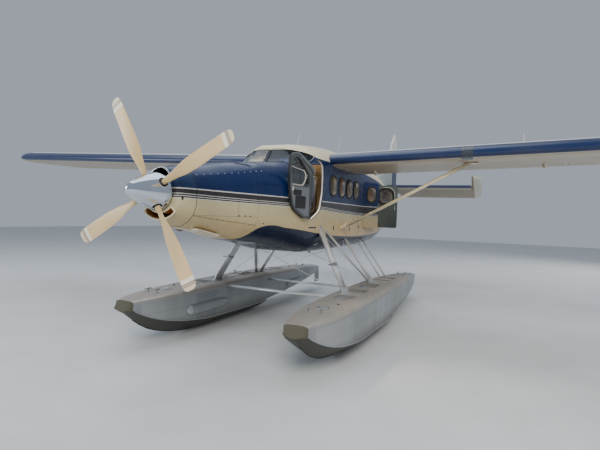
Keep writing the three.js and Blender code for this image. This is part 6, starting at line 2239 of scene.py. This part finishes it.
def buildGearTrim():
    feet = []
    for bar in bars.values():
        s = bar["foot"]
        deck = floatSize("deck", s)
        long, wide = bar["long"] * 0.75, bar["wide"] * 1.2
        plate = rounded(rectangle(footX - wide, footX + wide, s - long, s + long), 0.02)
        feet.append(prism("foot", "z", plate, deck - 0.006, deck + 0.014))
        start, end = at(*bar["from"]), at(footX, s, footZ)
        way = (start - end).normalized()
        feet.append(barAlong("socket", end + way * 0.02, end + way * 0.17, bar["long"] * 1.1,
                             bar["wide"] * 1.25, 32))
        for step in (-0.6, 0.6):
            for x in (footX - wide * 0.8, footX + wide * 0.8):
                feet.append(rod("bolt", [(x, s + step * long, deck + low) for low in (0.012, 0.026)],
                                0.012, 6))
    bothSides(joinAll("strutFeet", feet), None, "footAlloy")
    clamp = []
    bar = bars["front"]
    start, end = at(*bar["from"]), at(footX, bar["foot"], footZ)
    spot = start + (end - start) * gearLook["clamp"]
    way = (end - start).normalized()
    clamp.append(barAlong("clamp", spot - way * 0.02, spot + way * 0.02, 0.236, 0.1, 36))
    clamp.append(tube("peg", [spot + Vector((-0.03, -0.1, 0)), spot + Vector((-0.05, -0.17, 0.01))],
                      0.014, 12))
    clamp.append(tube("step", [spot + Vector((0.02, -0.1, 0.0)), spot + Vector((0.06, -0.12, 0.0)),
                               spot + Vector((0.1, -0.12, 0.0))], 0.013, 12))
    bothSides(joinAll("strutStep", clamp), None, "castFitting")
    wires = []
    for ends in gearLook["wires"]:
        a, b = (at(*spot) for spot in ends)
        wires.append(tube("wire", [a, b], 0.0045, 8))
        for p, q in ((a, b), (b, a)):
            way = (q - p).normalized()
            wires.append(tube("end", [p, p + way * 0.09], 0.009, 10))
    bothSides(joinAll("strutWires", wires), None, "polishedStrut")
    cross = []
    for s, z in gearLook["cross"]:
        for side in (1, -1):
            a, b = at(side * 0.80, s, z), at(-side * 1.32, s, -1.62)
            cross.append(tube("wire", [a + Vector((0, side * 0.012, 0)), b + Vector((0, side * 0.012, 0))],
                              0.0045, 8))
    together("crossWires", cross, "polishedStrut")
    pods = []
    for low, high in gearLook["pods"]:
        rows = []
        for t in np.linspace(0, 1, 25):
            s = low + (high - low) * t
            rise = math.sqrt(max(0.0, 1 - (1 - min(1.0, t / 0.07)) ** 2)) if t < 0.07 else 1.0
            fall = 1.0 if t < 0.8 else 1 - 0.75 * (t - 0.8) / 0.2
            k = max(0.02, rise * fall)
            wide = floatSize("beam", s)
            rows.append([place(floatMiddle - wide * 0.985 - 0.004 + 0.06 * k * math.cos(a), s,
                               -2.01 + 0.09 * k * math.sin(a)) for a in angles(24)])
        pods.append(loft("pod", rows, bend=60))
        pods[-1].data.materials.append(finishOf("podAlloy"))
        cap = loft("podCap", [[(p[0] - 0.002, p[1] - 0.002, p[2]) for p in row] for row in rows[:3]],
                   bend=60)
        cap.data.materials.append(finishOf("footAlloy"))
        pods.append(cap)
    bothSides(joinAll("sprayPods", pods), None, None)
    cables = []
    for x in (-0.09, 0.09):
        path = [place(floatMiddle + x * k, s, floatSize("deck", s) + 0.03) for s, k in gearLook["cable"]]
        cables.append(tube("cable", path, 0.003, 6))
    cables.append(rod("tiller", [(floatMiddle + x, *gearLook["tiller"]) for x in (-0.08, 0.08)], 0.009, 10))
    bothSides(joinAll("waterRudderCables", cables[:2]), None, "darkFitting")
    bothSides(cables[2], None, "castFitting", "water_rudder")


# Stage and finish
def buildStage():
    floor = newObject("studioFloor", [(-45, -45, -0.002), (45, -45, -0.002), (45, 45, -0.002),
                                      (-45, 45, -0.002)], [(0, 1, 2, 3)])
    material, tree, shader, spot = startMaterial("studioFloorPale")
    worn = useGroup(tree, "weather", Vector=spot, Color=(0.62, 0.64, 0.65, 1), Amount=0.06,
                    Roughness=0.7, Grain=3.0)
    feed(tree, worn.outputs["Color"], shader.inputs["Base Color"])
    feed(tree, worn.outputs["Roughness"], shader.inputs["Roughness"])
    floor.data.materials.append(material)


kept = {
    "engine_block": "engineSteel", "exhaust_stack": "heatSteel", "propeller_hub": "bladeShank",
    "cabin_floor": "cabinFloorBoard", "aft_bulkhead": "cabinLining", "instrument_panel": "panelBlack",
    "water_rudder_port": "castFitting", "water_rudder_starboard": "castFitting",
}


def finishKept():
    for name, finish in kept.items():
        obj = bpy.data.objects.get(name)
        if obj is None:
            print("no node", name)
            continue
        obj.data.materials.clear()
        obj.data.materials.append(finishOf(finish))


steps = [("fuselage", buildFuselage), ("doors", buildDoors), ("windows", buildWindows), ("nose", buildNose),
         ("cowling", buildCowling), ("propeller", buildPropeller), ("wings", buildWings),
         ("wing struts", buildWingStruts), ("tailplane", buildTailplane), ("fin", buildFin),
         ("floats", buildFloats), ("float gear", buildFloatGear), ("cowling trim", buildCowlTrim),
         ("body trim", buildBodyTrim), ("door trim", buildDoorTrim), ("seats", buildSeats),
         ("instrument panel", buildPanel), ("wing trim", buildWingTrim), ("float trim", buildFloatTrim),
         ("float gear trim", buildGearTrim),]
for title, build in steps:
    build()
    print("made", title)
finishKept()
buildStage()
addLights()
addCamera()
print("all made")
